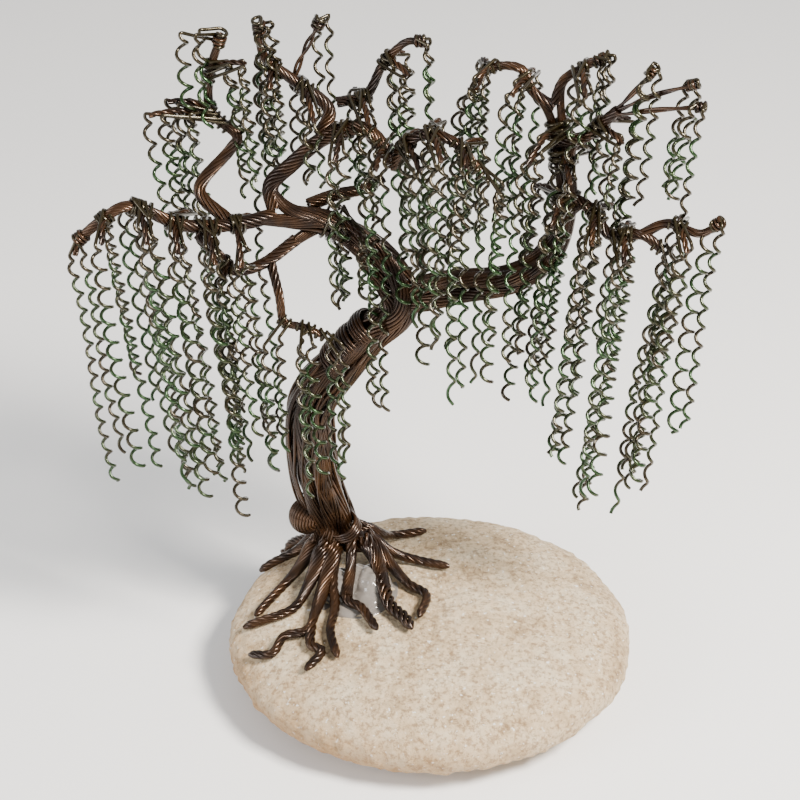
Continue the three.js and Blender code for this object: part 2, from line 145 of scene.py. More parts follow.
# %% Curves, places and headings
def curve(points, per=16):
    """A smooth line through the points, with so many steps from one point to the next."""
    p = np.array(points, float)
    p = np.vstack([2 * p[0] - p[1], p, 2 * p[-1] - p[-2]])
    t = np.linspace(0, 1, per, endpoint=False)[:, None]
    parts = []
    for a, b, c, d in zip(p, p[1:], p[2:], p[3:]):
        bend = (2 * a - 5 * b + 4 * c - d) * t**2 + (3 * b - a - 3 * c + d) * t**3
        parts.append(0.5 * (2 * b + (c - a) * t + bend))
    return np.vstack(parts + [p[-2:-1]])


def place(route, share):
    """The point at a share of a route, counted evenly from control point to control point."""
    line = curve(ROUTES[route])
    at = share * (len(line) - 1)
    i = min(int(at), len(line) - 2)
    return line[i] + (line[i + 1] - line[i]) * (at - i)


def heading(route, share):
    """The direction of a route at a share of it."""
    low, high = max(share - 0.02, 0), min(share + 0.02, 1)
    step = place(route, high) - place(route, low)
    return step / np.linalg.norm(step)


def lengths(line):
    """How far along the line each point is."""
    return np.concatenate([[0], np.cumsum(np.linalg.norm(np.diff(line, axis=0), axis=1))])


def even(line, spacing):
    """The same line with evenly spaced points."""
    run = lengths(line)
    stops = np.linspace(0, run[-1], max(2, int(round(run[-1] / spacing)) + 1))
    return np.stack([np.interp(stops, run, line[:, k]) for k in range(3)], axis=1)


def smooth(values, rounds):
    """Eases the corners where pieces of a line meet, and keeps its two ends."""
    values = values.copy()
    for _ in range(rounds):
        values[1:-1] = (values[:-2] + 2 * values[1:-1] + values[2:]) / 4
    return values


def carried(line):
    """Two directions across the line at each point, carried along it without spinning."""
    ahead = np.gradient(line, axis=0)
    ahead /= np.linalg.norm(ahead, axis=1)[:, None]
    across = np.zeros_like(line)
    now = np.array([1.0, 0, 0]) if abs(ahead[0][0]) < 0.9 else np.array([0, 1.0, 0])
    for i, t in enumerate(ahead):
        now = now - t * np.dot(now, t)
        now /= np.linalg.norm(now)
        across[i] = now
    return ahead, across, np.cross(ahead, across)


def vary(index, salt):
    """A repeatable number from -1 to 1."""
    x = math.sin(index * 12.9898 + salt * 78.233) * 43758.5453
    return 2 * (x - math.floor(x)) - 1


def ramp(x, low, high):
    """0 below low, 1 above high, and an easy rise between them."""
    t = np.clip((np.asarray(x, float) - low) / (high - low), 0, 1)
    return t * t * (3 - 2 * t)


for node in ("far_left", "s_branch", "arch"):
    low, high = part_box(node)
    line = curve(ROUTES[node])
    print(node, "runs from", np.round(line[0]), "to", np.round(line[-1]))
    print("    its solid reaches from x", round(low.x / MM), "to", round(high.x / MM))

# %% [markdown]
# ## Enamelled copper
#
# Craft wire is copper under a tinted, clear enamel. The metal gives sharp, bright glints and the
# enamel gives the colour, so the surface is metallic with a coat of gloss on top. The brown wire is
# dark chocolate with warm lights. On the hanging coils the enamel is bottle green, with patches of
# olive brown that are a painted reflection: they stand for the dark brown reflections in the green
# wire. A picture could be wrapped on, but a slow noise in object coordinates moves between two
# tints at any length of wire. A wire can also carry its own tint value, so that a green coil starts
# brown where it leaves its twig.

# %% Materials for the wire
def new_material(name):
    """A material, its nodes, its links and its main shader."""
    material = bpy.data.materials.new(name)
    material.use_nodes = True
    nodes = material.node_tree.nodes
    return material, nodes, material.node_tree.links, nodes["Principled BSDF"]


def enamel(name, dark, light, scale, rough, metal, coat, fades=False):
    """Enamelled wire: two tints, mixed in slow patches along the wire.

    Where a wire says so with its own tint value, it fades to the first tint.
    """
    material, nodes, links, shader = new_material(name)
    where = nodes.new("ShaderNodeTexCoord")
    noise = nodes.new("ShaderNodeTexNoise")
    noise.inputs["Scale"].default_value = scale
    noise.inputs["Detail"].default_value = 2.0
    tint = nodes.new("ShaderNodeValToRGB")
    tint.color_ramp.elements[0].position = 0.4
    tint.color_ramp.elements[0].color = (*dark, 1)
    tint.color_ramp.elements[1].position = 0.62
    tint.color_ramp.elements[1].color = (*light, 1)
    links.new(where.outputs["Object"], noise.inputs["Vector"])
    share = noise.outputs["Fac"]
    if fades:
        own = nodes.new("ShaderNodeAttribute")
        own.attribute_name = "tint"
        product = nodes.new("ShaderNodeMath")
        product.operation = "MULTIPLY"
        links.new(share, product.inputs[0])
        links.new(own.outputs["Fac"], product.inputs[1])
        share = product.outputs[0]
    links.new(share, tint.inputs["Fac"])
    links.new(tint.outputs["Color"], shader.inputs["Base Color"])
    shader.inputs["Metallic"].default_value = metal
    shader.inputs["Roughness"].default_value = rough
    shader.inputs["Coat Weight"].default_value = coat
    shader.inputs["Coat Roughness"].default_value = 0.12
    return material


brown_enamel = enamel(
    "brown_enamel",
    dark=(0.016, 0.007, 0.003),
    light=(0.052, 0.023, 0.008),
    scale=160,
    rough=0.26,
    metal=0.65,
    coat=0.2,
)
# The olive brown tint in patches along the green coils is a painted reflection. Where the tint value
# is 0, near the twig, the brown is the wire's own colour.
green_enamel = enamel(
    "green_enamel",
    dark=(0.030, 0.022, 0.008),
    light=(0.016, 0.046, 0.010),
    scale=95,
    rough=0.22,
    metal=0.7,
    coat=0.35,
    fades=True,
)
print("materials:", brown_enamel.name, green_enamel.name)

# %% [markdown]
# ## Two geometry node trees that draw wire
#
# Both trees take bare edge lines and give round wire. The first one draws each line as a single
# wire. Where the line has a swing, the wire is thrown round it in a circle, and the turn says how
# far round it is, so that a straight line becomes a pulled-open coil. The second tree lays several
# strands round each line, as a rope: it copies the line once for each strand, and pushes the copies
# out sideways, each a step further round, with a twist that grows along the rope.

# %% A helper that builds node trees
class Nodes:
    """A geometry node tree with short names for making and joining nodes."""

    def __init__(self, name):
        self.tree = bpy.data.node_groups.new(name, "GeometryNodeTree")
        self.tree.interface.new_socket("Geometry", in_out="INPUT", socket_type="NodeSocketGeometry")
        self.tree.interface.new_socket("Geometry", in_out="OUTPUT", socket_type="NodeSocketGeometry")
        self.ids = {}

    def size(self, name, kind, value=None):
        """A named input of the tree."""
        socket = self.tree.interface.new_socket(name, in_out="INPUT", socket_type=kind)
        if value is not None:
            socket.default_value = value
        self.ids[name] = socket.identifier

    def start(self):
        """The node that gives the tree's inputs."""
        self.source = self.tree.nodes.new("NodeGroupInput")
        self.result = self.tree.nodes.new("NodeGroupOutput")
        return self.source

    def new(self, kind, **settings):
        """A node of this kind with these settings."""
        full = kind if kind.startswith("Shader") else "GeometryNode" + kind
        node = self.tree.nodes.new(full)
        for key, value in settings.items():
            setattr(node, key, value)
        return node

    def join(self, source, target):
        self.tree.links.new(source, target)

    def attribute(self, name):
        """The number that each point of a wire carries under this name."""
        node = self.new("InputNamedAttribute", data_type="FLOAT")
        node.inputs["Name"].default_value = name
        return node.outputs["Attribute"]

    def maths(self, operation, first, second=None):
        """A sum on one or two values, each a number or another node's output."""
        node = self.new("ShaderNodeMath", operation=operation)
        for slot, value in ((0, first), (1, second)):
            if value is None:
                continue
            if isinstance(value, (int, float)):
                node.inputs[slot].default_value = value
            else:
                self.join(value, node.inputs[slot])
        return node.outputs[0]

    def scaled(self, vector, factor):
        """A direction made longer or shorter."""
        node = self.new("ShaderNodeVectorMath", operation="SCALE")
        self.join(vector, node.inputs[0])
        self.join(factor, node.inputs["Scale"])
        return node.outputs[0]

    def vectors(self, operation, first, second):
        """A sum on two directions."""
        node = self.new("ShaderNodeVectorMath", operation=operation)
        self.join(first, node.inputs[0])
        self.join(second, node.inputs[1])
        return node.outputs[0]

    def finish_wire(self, line):
        """Round wire along the line, with closed ends, smooth shading and the material."""
        ring = self.new("CurvePrimitiveCircle")
        self.join(self.source.outputs["Sides"], ring.inputs["Resolution"])
        self.join(self.source.outputs["Thickness"], ring.inputs["Radius"])
        sweep = self.new("CurveToMesh")
        self.join(line, sweep.inputs["Curve"])
        self.join(self.attribute("gauge"), sweep.inputs["Scale"])
        self.join(ring.outputs[0], sweep.inputs["Profile Curve"])
        sweep.inputs["Fill Caps"].default_value = True
        smooth = self.new("SetShadeSmooth")
        self.join(sweep.outputs[0], smooth.inputs["Geometry"])
        real = self.new("RealizeInstances")
        self.join(smooth.outputs[0], real.inputs["Geometry"])
        paint = self.new("SetMaterial")
        self.join(real.outputs[0], paint.inputs["Geometry"])
        self.join(self.source.outputs["Material"], paint.inputs["Material"])
        self.join(paint.outputs[0], self.result.inputs[0])


def common_sizes(nodes):
    """The inputs that both trees have."""
    nodes.size("Step", "NodeSocketFloat", 0.4 * MM)
    nodes.size("Sides", "NodeSocketInt", 6)
    nodes.size("Thickness", "NodeSocketFloat", 1.0)
    nodes.size("Material", "NodeSocketMaterial")


print("helper ready:", Nodes.__name__)

# %% The two trees
def evenly(nodes, source):
    """The bare edges as curves, with a point at every step."""
    line = nodes.new("MeshToCurve")
    nodes.join(source.outputs["Geometry"], line.inputs["Mesh"])
    points = nodes.new("ResampleCurve", mode="LENGTH")
    nodes.join(line.outputs[0], points.inputs["Curve"])
    nodes.join(source.outputs["Step"], points.inputs["Length"])
    return points.outputs[0]


def coil_tree():
    """Each line becomes one wire, thrown round its line by its swing and turn."""
    nodes = Nodes("Draw and coil wires")
    common_sizes(nodes)
    source = nodes.start()
    points = evenly(nodes, source)
    turn, swing = nodes.attribute("turn"), nodes.attribute("swing")
    throw = nodes.new("ShaderNodeCombineXYZ")
    nodes.join(nodes.maths("MULTIPLY", nodes.maths("COSINE", turn), swing), throw.inputs["X"])
    nodes.join(nodes.maths("MULTIPLY", nodes.maths("SINE", turn), swing), throw.inputs["Y"])
    moved = nodes.new("SetPosition")
    nodes.join(points, moved.inputs["Geometry"])
    nodes.join(throw.outputs[0], moved.inputs["Offset"])
    nodes.finish_wire(moved.outputs[0])
    return nodes


def rope_tree():
    """Each line becomes a rope of strands that lie side by side round it."""
    nodes = Nodes("Twist wires into a rope")
    common_sizes(nodes)
    source = nodes.start()
    points = evenly(nodes, source)
    steady = nodes.new("SetCurveNormal")
    nodes.join(points, steady.inputs["Curve"])
    kept = nodes.new("CaptureAttribute")
    kept.capture_items.new("VECTOR", "side")
    kept.capture_items.new("VECTOR", "ahead")
    nodes.join(steady.outputs[0], kept.inputs["Geometry"])
    nodes.join(nodes.new("InputNormal").outputs[0], kept.inputs["side"])
    nodes.join(nodes.new("InputTangent").outputs[0], kept.inputs["ahead"])
    copies = nodes.new("DuplicateElements", domain="SPLINE")
    nodes.join(kept.outputs["Geometry"], copies.inputs["Geometry"])
    nodes.join(nodes.attribute("strands"), copies.inputs["Amount"])
    share = nodes.maths("DIVIDE", copies.outputs["Duplicate Index"], nodes.attribute("strands"))
    angle = nodes.maths("ADD", nodes.maths("MULTIPLY", share, math.tau), nodes.attribute("turn"))
    over = nodes.vectors("CROSS_PRODUCT", kept.outputs["ahead"], kept.outputs["side"])
    out = nodes.vectors(
        "ADD",
        nodes.scaled(kept.outputs["side"], nodes.maths("COSINE", angle)),
        nodes.scaled(over, nodes.maths("SINE", angle)),
    )
    moved = nodes.new("SetPosition")
    nodes.join(copies.outputs["Geometry"], moved.inputs["Geometry"])
    nodes.join(nodes.scaled(out, nodes.attribute("swing")), moved.inputs["Offset"])
    nodes.finish_wire(moved.outputs[0])
    return nodes


COILS, ROPES = coil_tree(), rope_tree()
print("node trees:", COILS.tree.name, "and", ROPES.tree.name)

# %% [markdown]
# ## From a list of wires to one mesh
#
# A wire is written down as its line and the numbers that go with each point: how thick it is, how
# far it swings out and how far round it has turned. `draw` turns a list of such wires into one
# plain mesh, by letting a tree work on them once and keeping the result. The coils could be drawn
# as curve objects, but one mesh for each part of the tree is lighter and keeps its form once the
# tree is gone.

# %% Write down wires and draw them
UNITS = {"swing": MM, "turn": 1.0, "gauge": MM, "strands": 1.0, "tint": 1.0}


def wire(line, swing=0.0, turn=0.0, gauge=WIRE, strands=1, tint=1.0):
    """A line in millimetres, and a value of each kind for every point of it."""
    line = np.asarray(line, float)
    values = {"swing": swing, "turn": turn, "gauge": gauge, "strands": strands, "tint": tint}
    each = {key: np.ones(len(line)) * value for key, value in values.items()}
    return {"line": line, **each}


def draw(name, tree, wires, material, step=0.4, sides=6):
    """One mesh of round wire for all the lines, in metres, at the origin."""
    points = np.concatenate([w["line"] for w in wires]) * MM
    edges, first = [], 0
    for w in wires:
        n = len(w["line"])
        edges += [(first + i, first + i + 1) for i in range(n - 1)]
        first += n
    mesh = bpy.data.meshes.new(name + "_lines")
    mesh.from_pydata(points.tolist(), edges, [])
    for key, unit in UNITS.items():
        layer = mesh.attributes.new(key, "FLOAT", "POINT")
        layer.data.foreach_set("value", np.concatenate([w[key] for w in wires]) * unit)
    lines = bpy.data.objects.new(name + "_lines", mesh)
    bpy.context.scene.collection.objects.link(lines)
    work = lines.modifiers.new("wire", "NODES")
    work.node_group = tree.tree
    work[tree.ids["Step"]] = step * MM
    work[tree.ids["Sides"]] = sides
    work[tree.ids["Thickness"]] = 1.0
    work[tree.ids["Material"]] = material
    graph = bpy.context.evaluated_depsgraph_get()
    result = bpy.data.meshes.new_from_object(lines.evaluated_get(graph))
    bpy.data.objects.remove(lines)
    result.name = name
    done = bpy.data.objects.new(name, result)
    bpy.context.scene.collection.objects.link(done)
    result.materials.clear()
    result.materials.append(material)
    used_up = {"swing", "turn", "gauge", "strands", "side", "ahead"}
    for extra in [a.name for a in result.attributes if a.name in used_up]:
        result.attributes.remove(result.attributes[extra])
    return done


def keep(piece, slot, *nodes):
    """The piece replaces these solid nodes and moves with the object. Gives its face count."""
    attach(piece, "root")
    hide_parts(*nodes)
    return len(piece.data.polygons)


print("a wire has a line and", ", ".join(UNITS))

# %% [markdown]
# ## Where the roots lie
#
# The roots run down over the pebble's dome, so the stone's height has to be known first. From
# above, the stone is an ellipse, and its dome is a rounded curve that falls slowly and then
# steeply. Each root is planned from above, and then lifted to lie on the stone. The third number
# of a root's point is how far it still stands off the stone, near the trunk.

# %% The stone's height and the roots' plans
STONE = {"length": 107, "width": 94, "waist": 12.3, "crown": 12.7, "belly": 14.6, "fullness": 2.3}


def dome(share):
    """The dome's height, from 1 in the middle to 0 at the rim."""
    return (1 - np.minimum(share, 1) ** STONE["fullness"]) ** (1 / STONE["fullness"])


def stone_top(x, y):
    """The height of the stone's upper side, mm."""
    share = np.hypot(np.asarray(x) / (STONE["length"] / 2), np.asarray(y) / (STONE["width"] / 2))
    return STONE["waist"] + STONE["crown"] * dome(share)


ROOTS = {
    "back_left": [(-27, 24, 9), (-32, 26, 3), (-41, 33, 0)],
    "left": [(-30, 20, 9), (-35, 20, 3), (-46, 19, 0)],
    "left_curl": [(-30, 16, 10), (-34, 13, 3), (-39, 8, 0), (-46, -2, 0)],
    "left_long": [(-28, 13, 10), (-31, 7, 3), (-35, -1, 0), (-40, -4, 0), (-49, -5, 0)],
    "front_left": [
        (-25, 13, 10), (-27, 7, 3), (-30, -4, 0), (-32, -11, 0), (-38, -12, 0), (-41, -17, 0),
        (-47, -15, 0),
    ],
    "front_tip": [(-31, -9, 0), (-31, -16, 0), (-28, -19, 0), (-32, -24, 0)],
    "front_small": [(-26, 8, 3), (-25, -3, 0), (-26, -12, 0), (-24, -21, 0)],
    "middle": [(-21, 13, 9), (-21, 8, 3), (-22, -1, 0), (-18, -5, 0), (-14, -13, 0)],
    "fat": [(-18, 15, 8), (-14, 10, 3), (-11, -3, 0), (-7, -9, 0), (-5, -13, 0)],
    "loop": [(-17, 17, 8), (-12, 12, 3), (-6, 5, 0), (-1, 0, 0), (-3, -8, 0)],
    "right": [(-17, 18, 8), (-12, 16, 3), (-4, 15, 0), (5, 12, 0)],
    "back_right": [(-19, 22, 8), (-13, 23, 3), (-9, 27, 0), (-1, 29, 0)],
}
ROOT_RADIUS = {name: 2.1 if name in ("fat", "middle") else 1.5 for name in ROOTS}
CLEAR = 0.25  # between a root and the stone, mm


def root_line(name, spacing=1.0):
    """The root's middle line: its plan, raised to lie on the stone."""
    plan = even(curve(ROOTS[name]), spacing)
    thick = ROOT_RADIUS[name]
    plan[:, 2] += stone_top(plan[:, 0], plan[:, 1]) + thick + CLEAR
    return plan


print("roots:", {name: round(lengths(root_line(name))[-1]) for name in ROOTS}, "mm long")

# %% [markdown]
# ## Trunk and limbs
#
# The trunk is not one even rope. The maker first twisted the wires into seven loose bundles, and
# then laid the bundles round each other, so the wires of neighbouring bundles cross at different
# angles and dark creases run between them. At the fork three bundles go to the left limb and four
# to the right. Each one then runs on into a branch, where it thins out. At the foot each bundle
# thins out into a root.

# %% Plan the bundles
# A bundle: the root it comes from, the limb it takes, the branch it runs into, and where it
# leaves the limb, as a share of the limb's length.
BUNDLES = [
    ("left_long", "left_limb", "far_left", 1.0),
    ("left", "left_limb", "crown_loop", 1.0),
    ("left_curl", "left_limb", "hook", 0.8),
    ("front_left", "right_limb", "right_low", 0.62),
    ("middle", "right_limb", "right_outer", 0.85),
    ("fat", "right_limb", "right_top", 1.0),
    ("back_right", "right_limb", "right_inner", 1.0),
]
TRUNK_ANGLES = (3.4, 2.4, 4.4, 5.0, 5.7, 0.4, 1.4)  # where each bundle starts round the trunk
LIMB_START = {"left_limb": 0.6, "right_limb": 0.2}
FORK = (14, 10)  # from so far before the fork to so far after it, a bundle changes over, mm
TRUNK_FILL = (0.60, 0.36)  # a bundle's place and its radius, as shares of the trunk's radius
LIMB_FILL = (0.52, 0.50)  # and of the limb's radius
BUNDLE_TURN, DRIFT = 0.5, 0.55  # turns of a bundle round the trunk, and its stray from that


def axis_of(limb):
    """The middle line of the trunk and one limb."""
    return even(curve(ROUTES["trunk"][:-1] + ROUTES[limb]), 1.0)


for limb in LIMB_START:
    print("trunk and", limb + ":", round(lengths(axis_of(limb))[-1]), "mm long")

# %% The way of one bundle
CLIMB = 6  # a bundle leaves its root so far up the trunk, mm


def bundle(index, plan):
    """The middle line of one bundle from root to branch, and its radius along the way."""
    root, limb, branch, leave = plan
    axis = axis_of(limb)
    run = lengths(axis)
    trunk_end = lengths(even(curve(ROUTES["trunk"]), 1.0))[-1]
    stop = trunk_end + (run[-1] - trunk_end) * leave
    _, across, over = carried(axis)
    on_limb = ramp(run, trunk_end - FORK[0], trunk_end + FORK[1])
    on_trunk_still = 1 - on_limb
    thick_trunk = np.interp(run, [0, trunk_end], GIRTH["trunk"])
    along_limb = np.clip((run - trunk_end) / (run[-1] - trunk_end), 0, 1)
    thick_limb = GIRTH[limb][0] + (GIRTH[limb][1] - GIRTH[limb][0]) * along_limb
    mates = [i for i, p in enumerate(BUNDLES) if p[1] == limb]
    stray = DRIFT * np.sin(run / 15 + index * 2.6)
    turn = BUNDLE_TURN * math.tau * run / run[-1] + stray
    angle_trunk = TRUNK_ANGLES[index] + turn * 0.8
    angle_limb = math.tau * mates.index(index) / len(mates) + turn + LIMB_START[limb]
    reach_trunk = thick_trunk * (TRUNK_FILL[0] + 0.06 * np.sin(run / 9 + index * 1.3))
    reach_limb = thick_limb * LIMB_FILL[0]
    sides = []
    for wave in (np.cos, np.sin):
        side = on_trunk_still * reach_trunk * wave(angle_trunk)
        sides.append(side + on_limb * reach_limb * wave(angle_limb))
    line = axis + across * sides[0][:, None] + over * sides[1][:, None]
    swell = 1 + 0.10 * np.sin(run / 6.5 + index * 1.9)
    fill = on_trunk_still * thick_trunk * TRUNK_FILL[1] + on_limb * thick_limb * LIMB_FILL[1]
    girth = fill * swell
    part = run <= stop
    line, girth = line[part], girth[part]
    foot = root_line(root)[::-1]
    foot = foot[len(foot) // 3 : -1]
    tip = even(curve(ROUTES[branch]), 1.0)[3:19]
    whole = np.vstack([foot, line[CLIMB:-2], tip])
    rising = np.linspace(0.35, 1.1, len(foot))
    thinning = np.linspace(GIRTH[branch][0] * 0.7, 0.3, len(tip))
    sizes = np.concatenate([rising, girth[CLIMB:-2], thinning])
    return smooth(whole, 5), smooth(sizes[:, None], 6)[:, 0]


line, girth = bundle(0, BUNDLES[0])
print("first bundle:", round(lengths(line)[-1]), "mm long")
print("its radius reaches", round(girth.max(), 1), "mm")

# %% Draw the bundles
BUNDLE_TWIST = 62  # length of one turn of the wires round their bundle, mm


def bundle_rope(index, plan):
    """A bundle as a rope, twisted the other way from its neighbours."""
    line, girth = bundle(index, plan)
    around = int(2 * math.pi * (girth.max() - WIRE) / (2.15 * WIRE))
    spin = (1 if index % 2 else -1) * math.tau * lengths(line) / BUNDLE_TWIST + index
    return wire(line, np.maximum(girth - WIRE, 0.05), spin, WIRE, around)


for side, limb in (("left", "left_limb"), ("right", "right_limb")):
    ropes = [bundle_rope(i, plan) for i, plan in enumerate(BUNDLES) if plan[1] == limb]
    made = draw(side + "_bundles", ROPES, ropes, brown_enamel, step=1.4, sides=6)
    strands = sum(int(rope["strands"][0]) for rope in ropes)
    faces = keep(made, "brown_wire", "trunk", limb)
    print(side, "bundles:", len(ropes), "with", strands, "wires,", faces, "faces")

# %% [markdown]
# ## Loose wires
#
# Some wires escaped from the bundles while they were twisted. They run over the surface at their
# own angle and cross the bundles, which breaks up the even lay of the trunk. A bump pattern could
# hint at them, but wires that really stand proud also show at the trunk's edge.

# %% Wires that cross the bundles
LOOSE = 26
SINK = 1.6  # how deep the ends of a loose wire lie, mm


def on_trunk(share, angle, out):
    """A point of the trunk's skin: how far along, how far round, and how far out of the middle."""
    ahead = heading("trunk", share)
    front = np.array([0.0, -1, 0])
    front = front - ahead * np.dot(front, ahead)
    front /= np.linalg.norm(front)
    right = np.cross(front, ahead)
    return place("trunk", share) + out * (math.cos(angle) * front + math.sin(angle) * right)


def trunk_radius(share):
    """The trunk's radius at a share of its height."""
    return GIRTH["trunk"][0] + (GIRTH["trunk"][1] - GIRTH["trunk"][0]) * share


def loose_wire(index):
    """A wire on the trunk's skin, with both ends sunk between the bundles."""
    start = 0.02 + 0.25 * abs(vary(index, 11))
    end = min(start + 0.45 + 0.3 * abs(vary(index, 12)), 0.97)
    angle = math.tau * index / LOOSE + 0.4 * vary(index, 13)
    slope = 2.4 * vary(index, 14)
    shares = np.linspace(start, end, 40)
    line = []
    for n, share in enumerate(shares):
        sunk = SINK * (1 - math.sin(math.pi * n / (len(shares) - 1)) ** 0.35)
        out = trunk_radius(share) * 0.95 + 0.25 * vary(index, 15) - sunk
        round_by = angle + slope * (share - start) + 0.12 * math.sin(n / 4 + index)
        line.append(on_trunk(share, round_by, out))
    return wire(smooth(np.array(line), 2), gauge=WIRE * 1.05)


wires = [loose_wire(i) for i in range(LOOSE)]
made = draw("loose_wires", COILS, wires, brown_enamel, step=1.0, sides=6)
print("loose wires:", LOOSE, "of them,", keep(made, "brown_wire", "trunk"), "faces")

# %% [markdown]
# ## Burl, binding and shoulder
#
# Three places are wrapped. Low on the left, wires loop out of the trunk and back as a round burl.
# A bright binding of four turns gathers the right-hand bundles above the roots. On the shoulder,
# bands of wire lap over the trunk's upper edge, where twigs were tied in. The burl and the binding
# are turns of wire round an axis, so one function gives both. The bands follow the trunk's skin.

# %% Burl, binding and shoulder
def helix(centre, axis, radius, turns, pitch, start=0.0, per_turn=20):
    """Turns of wire round an axis."""
    axis = np.array(axis, float) / np.linalg.norm(axis)
    side = np.cross(axis, [0.3, 0.2, 1.0])
    side /= np.linalg.norm(side)
    over = np.cross(axis, side)
    n = int(turns * per_turn) + 2
    t = np.linspace(0, 1, n)
    angle = start + math.tau * turns * t
    along = (t - 0.5) * pitch * turns
    ring = np.cos(angle)[:, None] * side + np.sin(angle)[:, None] * over
    return np.array(centre) + ring * radius + along[:, None] * axis


BURL_MIDDLE, BURL_AXIS, BURL_RADIUS, BURL_TURNS = (-32.6, 15.6, 41), (0.62, -0.75, 0.12), 4.5, 13
BINDING_MIDDLE, BINDING_AXIS, BINDING_RADIUS = (-22.6, 14.6, 38), (-0.5, -0.2, 1), 3.9
BANDS, BAND_WIRES = (0.71, 0.77, 0.83), 5  # where the shoulder's bands lie on the trunk
BAND_STEPS = 16


def burl():
    """Rings of wire side by side over a ball, from its pole in front to the far side."""
    axis = np.array(BURL_AXIS) / np.linalg.norm(BURL_AXIS)
    wires = []
    for i in range(BURL_TURNS):
        polar = math.radians(8 + 10.5 * i)
        middle = BURL_MIDDLE + axis * BURL_RADIUS * math.cos(polar)
        ring = helix(middle, axis, BURL_RADIUS * math.sin(polar) + 0.1, 1, 0.2, start=0.8)
        wires.append(wire(ring, gauge=WIRE * 1.05))
    return wires


def shoulder():
    """Bands of wire that come out of the trunk, lap over its upper edge and go in again."""
    hump = np.sin(np.linspace(0, math.pi, BAND_STEPS)) ** 0.6
    wires = []
    for band, share in enumerate(BANDS):
        angles = np.linspace(0.1, 3.3, BAND_STEPS) + 0.15 * vary(band, 21)
        for k in range(BAND_WIRES):
            here = share + k * 0.0105
            proud = 0.75 + 0.45 * math.sin(math.pi * (k + 0.5) / BAND_WIRES)
            lift = trunk_radius(here) * 0.84 + proud * hump
            shares = here + 0.012 * np.arange(BAND_STEPS) / BAND_STEPS
            line = [on_trunk(*step) for step in zip(shares, angles, lift)]
            wires.append(wire(line, gauge=WIRE * 1.05))
    return wires


binding = wire(helix(BINDING_MIDDLE, BINDING_AXIS, BINDING_RADIUS, 4, 0.9), gauge=WIRE * 1.1)
wires = burl() + shoulder() + [binding]
details = draw("burl_binding_shoulder", COILS, wires, brown_enamel, step=0.7, sides=7)
print("burl, binding and shoulder:", keep(details, "brown_wire", "trunk"), "faces")

# %% [markdown]
# ## Branches
#
# A branch is a tight rope of three to fourteen wires, and the twist shows as slanting bands. The
# table names the ropes of each solid part and how many turns each rope makes in a centimetre. The
# number of wires follows from the rope's girth, so that they touch and no light shows between.

# %% Branch ropes
def strands_round(radius):
    """How many wires fit side by side round a rope of this radius."""
    return max(2, int(math.pi / math.asin(min(1, WIRE / max(radius - WIRE, WIRE)))))


def rope(route, turns_per_cm, phase):
    """The wires of one branch, twisted round its route."""
    line = even(curve(ROUTES[route]), 1.0)
    thick, thin = GIRTH[route]
    share = lengths(line) / lengths(line)[-1]
    radius = thick + (thin - thick) * share
    turn = phase + math.tau * turns_per_cm * lengths(line) / 10
    return wire(line, np.maximum(radius - WIRE, 0.3), turn, WIRE, strands_round(thick))


BRANCHES = {
    "far_left": [("far_left", 0.55)],
    "s_branch": [("s_branch", 0.35)],
    "hook": [("hook", 0.7)],
    "hanging": [("hanging", 0.8)],
    "crown_loop": [("crown_loop", 0.5)],
    "crown_spur": [("crown_spur", 0.6)],
    "crown_left": [("crown_left", 0.6), ("crown_middle", 0.8)],
    "crown_right": [("crown_right", 0.6)],
    "arch": [("arch", 0.7)],
    "right_inner": [("right_inner", 0.7)],
    "right_top": [("right_top", 0.7)],
    "right_outer": [
        ("right_outer", 0.5), ("spoke_up", 0.6), ("spoke_middle", 0.4), ("spoke_low", 0.4),
    ],
    "right_low": [("right_low", 0.8), ("right_low_end", 0.3)],
}
ropes = [rope(*plan, i) for i, each in enumerate(BRANCHES.values()) for plan in each]
made = draw("branches", ROPES, ropes, brown_enamel, step=0.8, sides=6)
print("branches:", len(ropes), "ropes,", keep(made, "brown_wire", *BRANCHES), "faces")

# %% [markdown]
# ## Roots
#
# Each root is a hard-twisted rope of five thick strands. Its tip is where the wires were folded
# back, so it ends round, not cut: the strands close in on the middle. Over the start of each root
# lies the bundle it comes from, which leaves the trunk's foot thick and tightens outwards.

# %% Roots and the bundles they come from
LEG = 2.5  # radius of a root where it leaves the trunk, mm
THIN_LEGS = ("middle", "front_small")
STRAND, STRANDS = 0.55, 5  # radius of a root's strands, mm, and how many there are
ROOT_TWIST, LEG_TWIST = 11, 26  # length of one turn, mm
LEG_WIRES = 14
LEG_TOP, LEG_FOOT = (0.22, 3.4), (0.06, 5.0)  # share of the trunk, and how far out of it, mm


def root_rope(name, index):
    """A twisted rope on the stone with a round end."""
    line = root_line(name)
    thick = 1.55 if name == "middle" else ROOT_RADIUS[name]
    run = lengths(line)
    left = run[-1] - run
    close = np.sqrt(np.clip(left / thick, 0, 1))
    swing = (thick * (1 - 0.2 * run / run[-1]) - STRAND) * close
    return wire(line, swing, index + math.tau * run / ROOT_TWIST, STRAND, STRANDS)


def leg(name, index):
    """The thick start of a root: it leaves the trunk's foot as a bundle and tightens outwards."""
    down = root_line(name)
    aim = down[2] - place("trunk", 0.1)
    aim[2] = 0
    aim /= np.linalg.norm(aim)
    high, low = [place("trunk", share) + aim * out for share, out in (LEG_TOP, LEG_FOOT)]
    half = int(len(down) * 0.55)
    line = smooth(even(np.vstack([high, low, down[2:half]]), 1.0), 6)
    share = lengths(line) / lengths(line)[-1]
    thick = LEG * (0.6 if name in THIN_LEGS else 1)
    sizes = [0.9, thick, thick * 0.9, ROOT_RADIUS[name] * 0.8]
    size = np.interp(share, [0, 0.25, 0.6, 1], sizes)
    turn = index + math.tau * lengths(line) / LEG_TWIST
    return wire(line, size - WIRE, turn, WIRE * 1.1, LEG_WIRES)


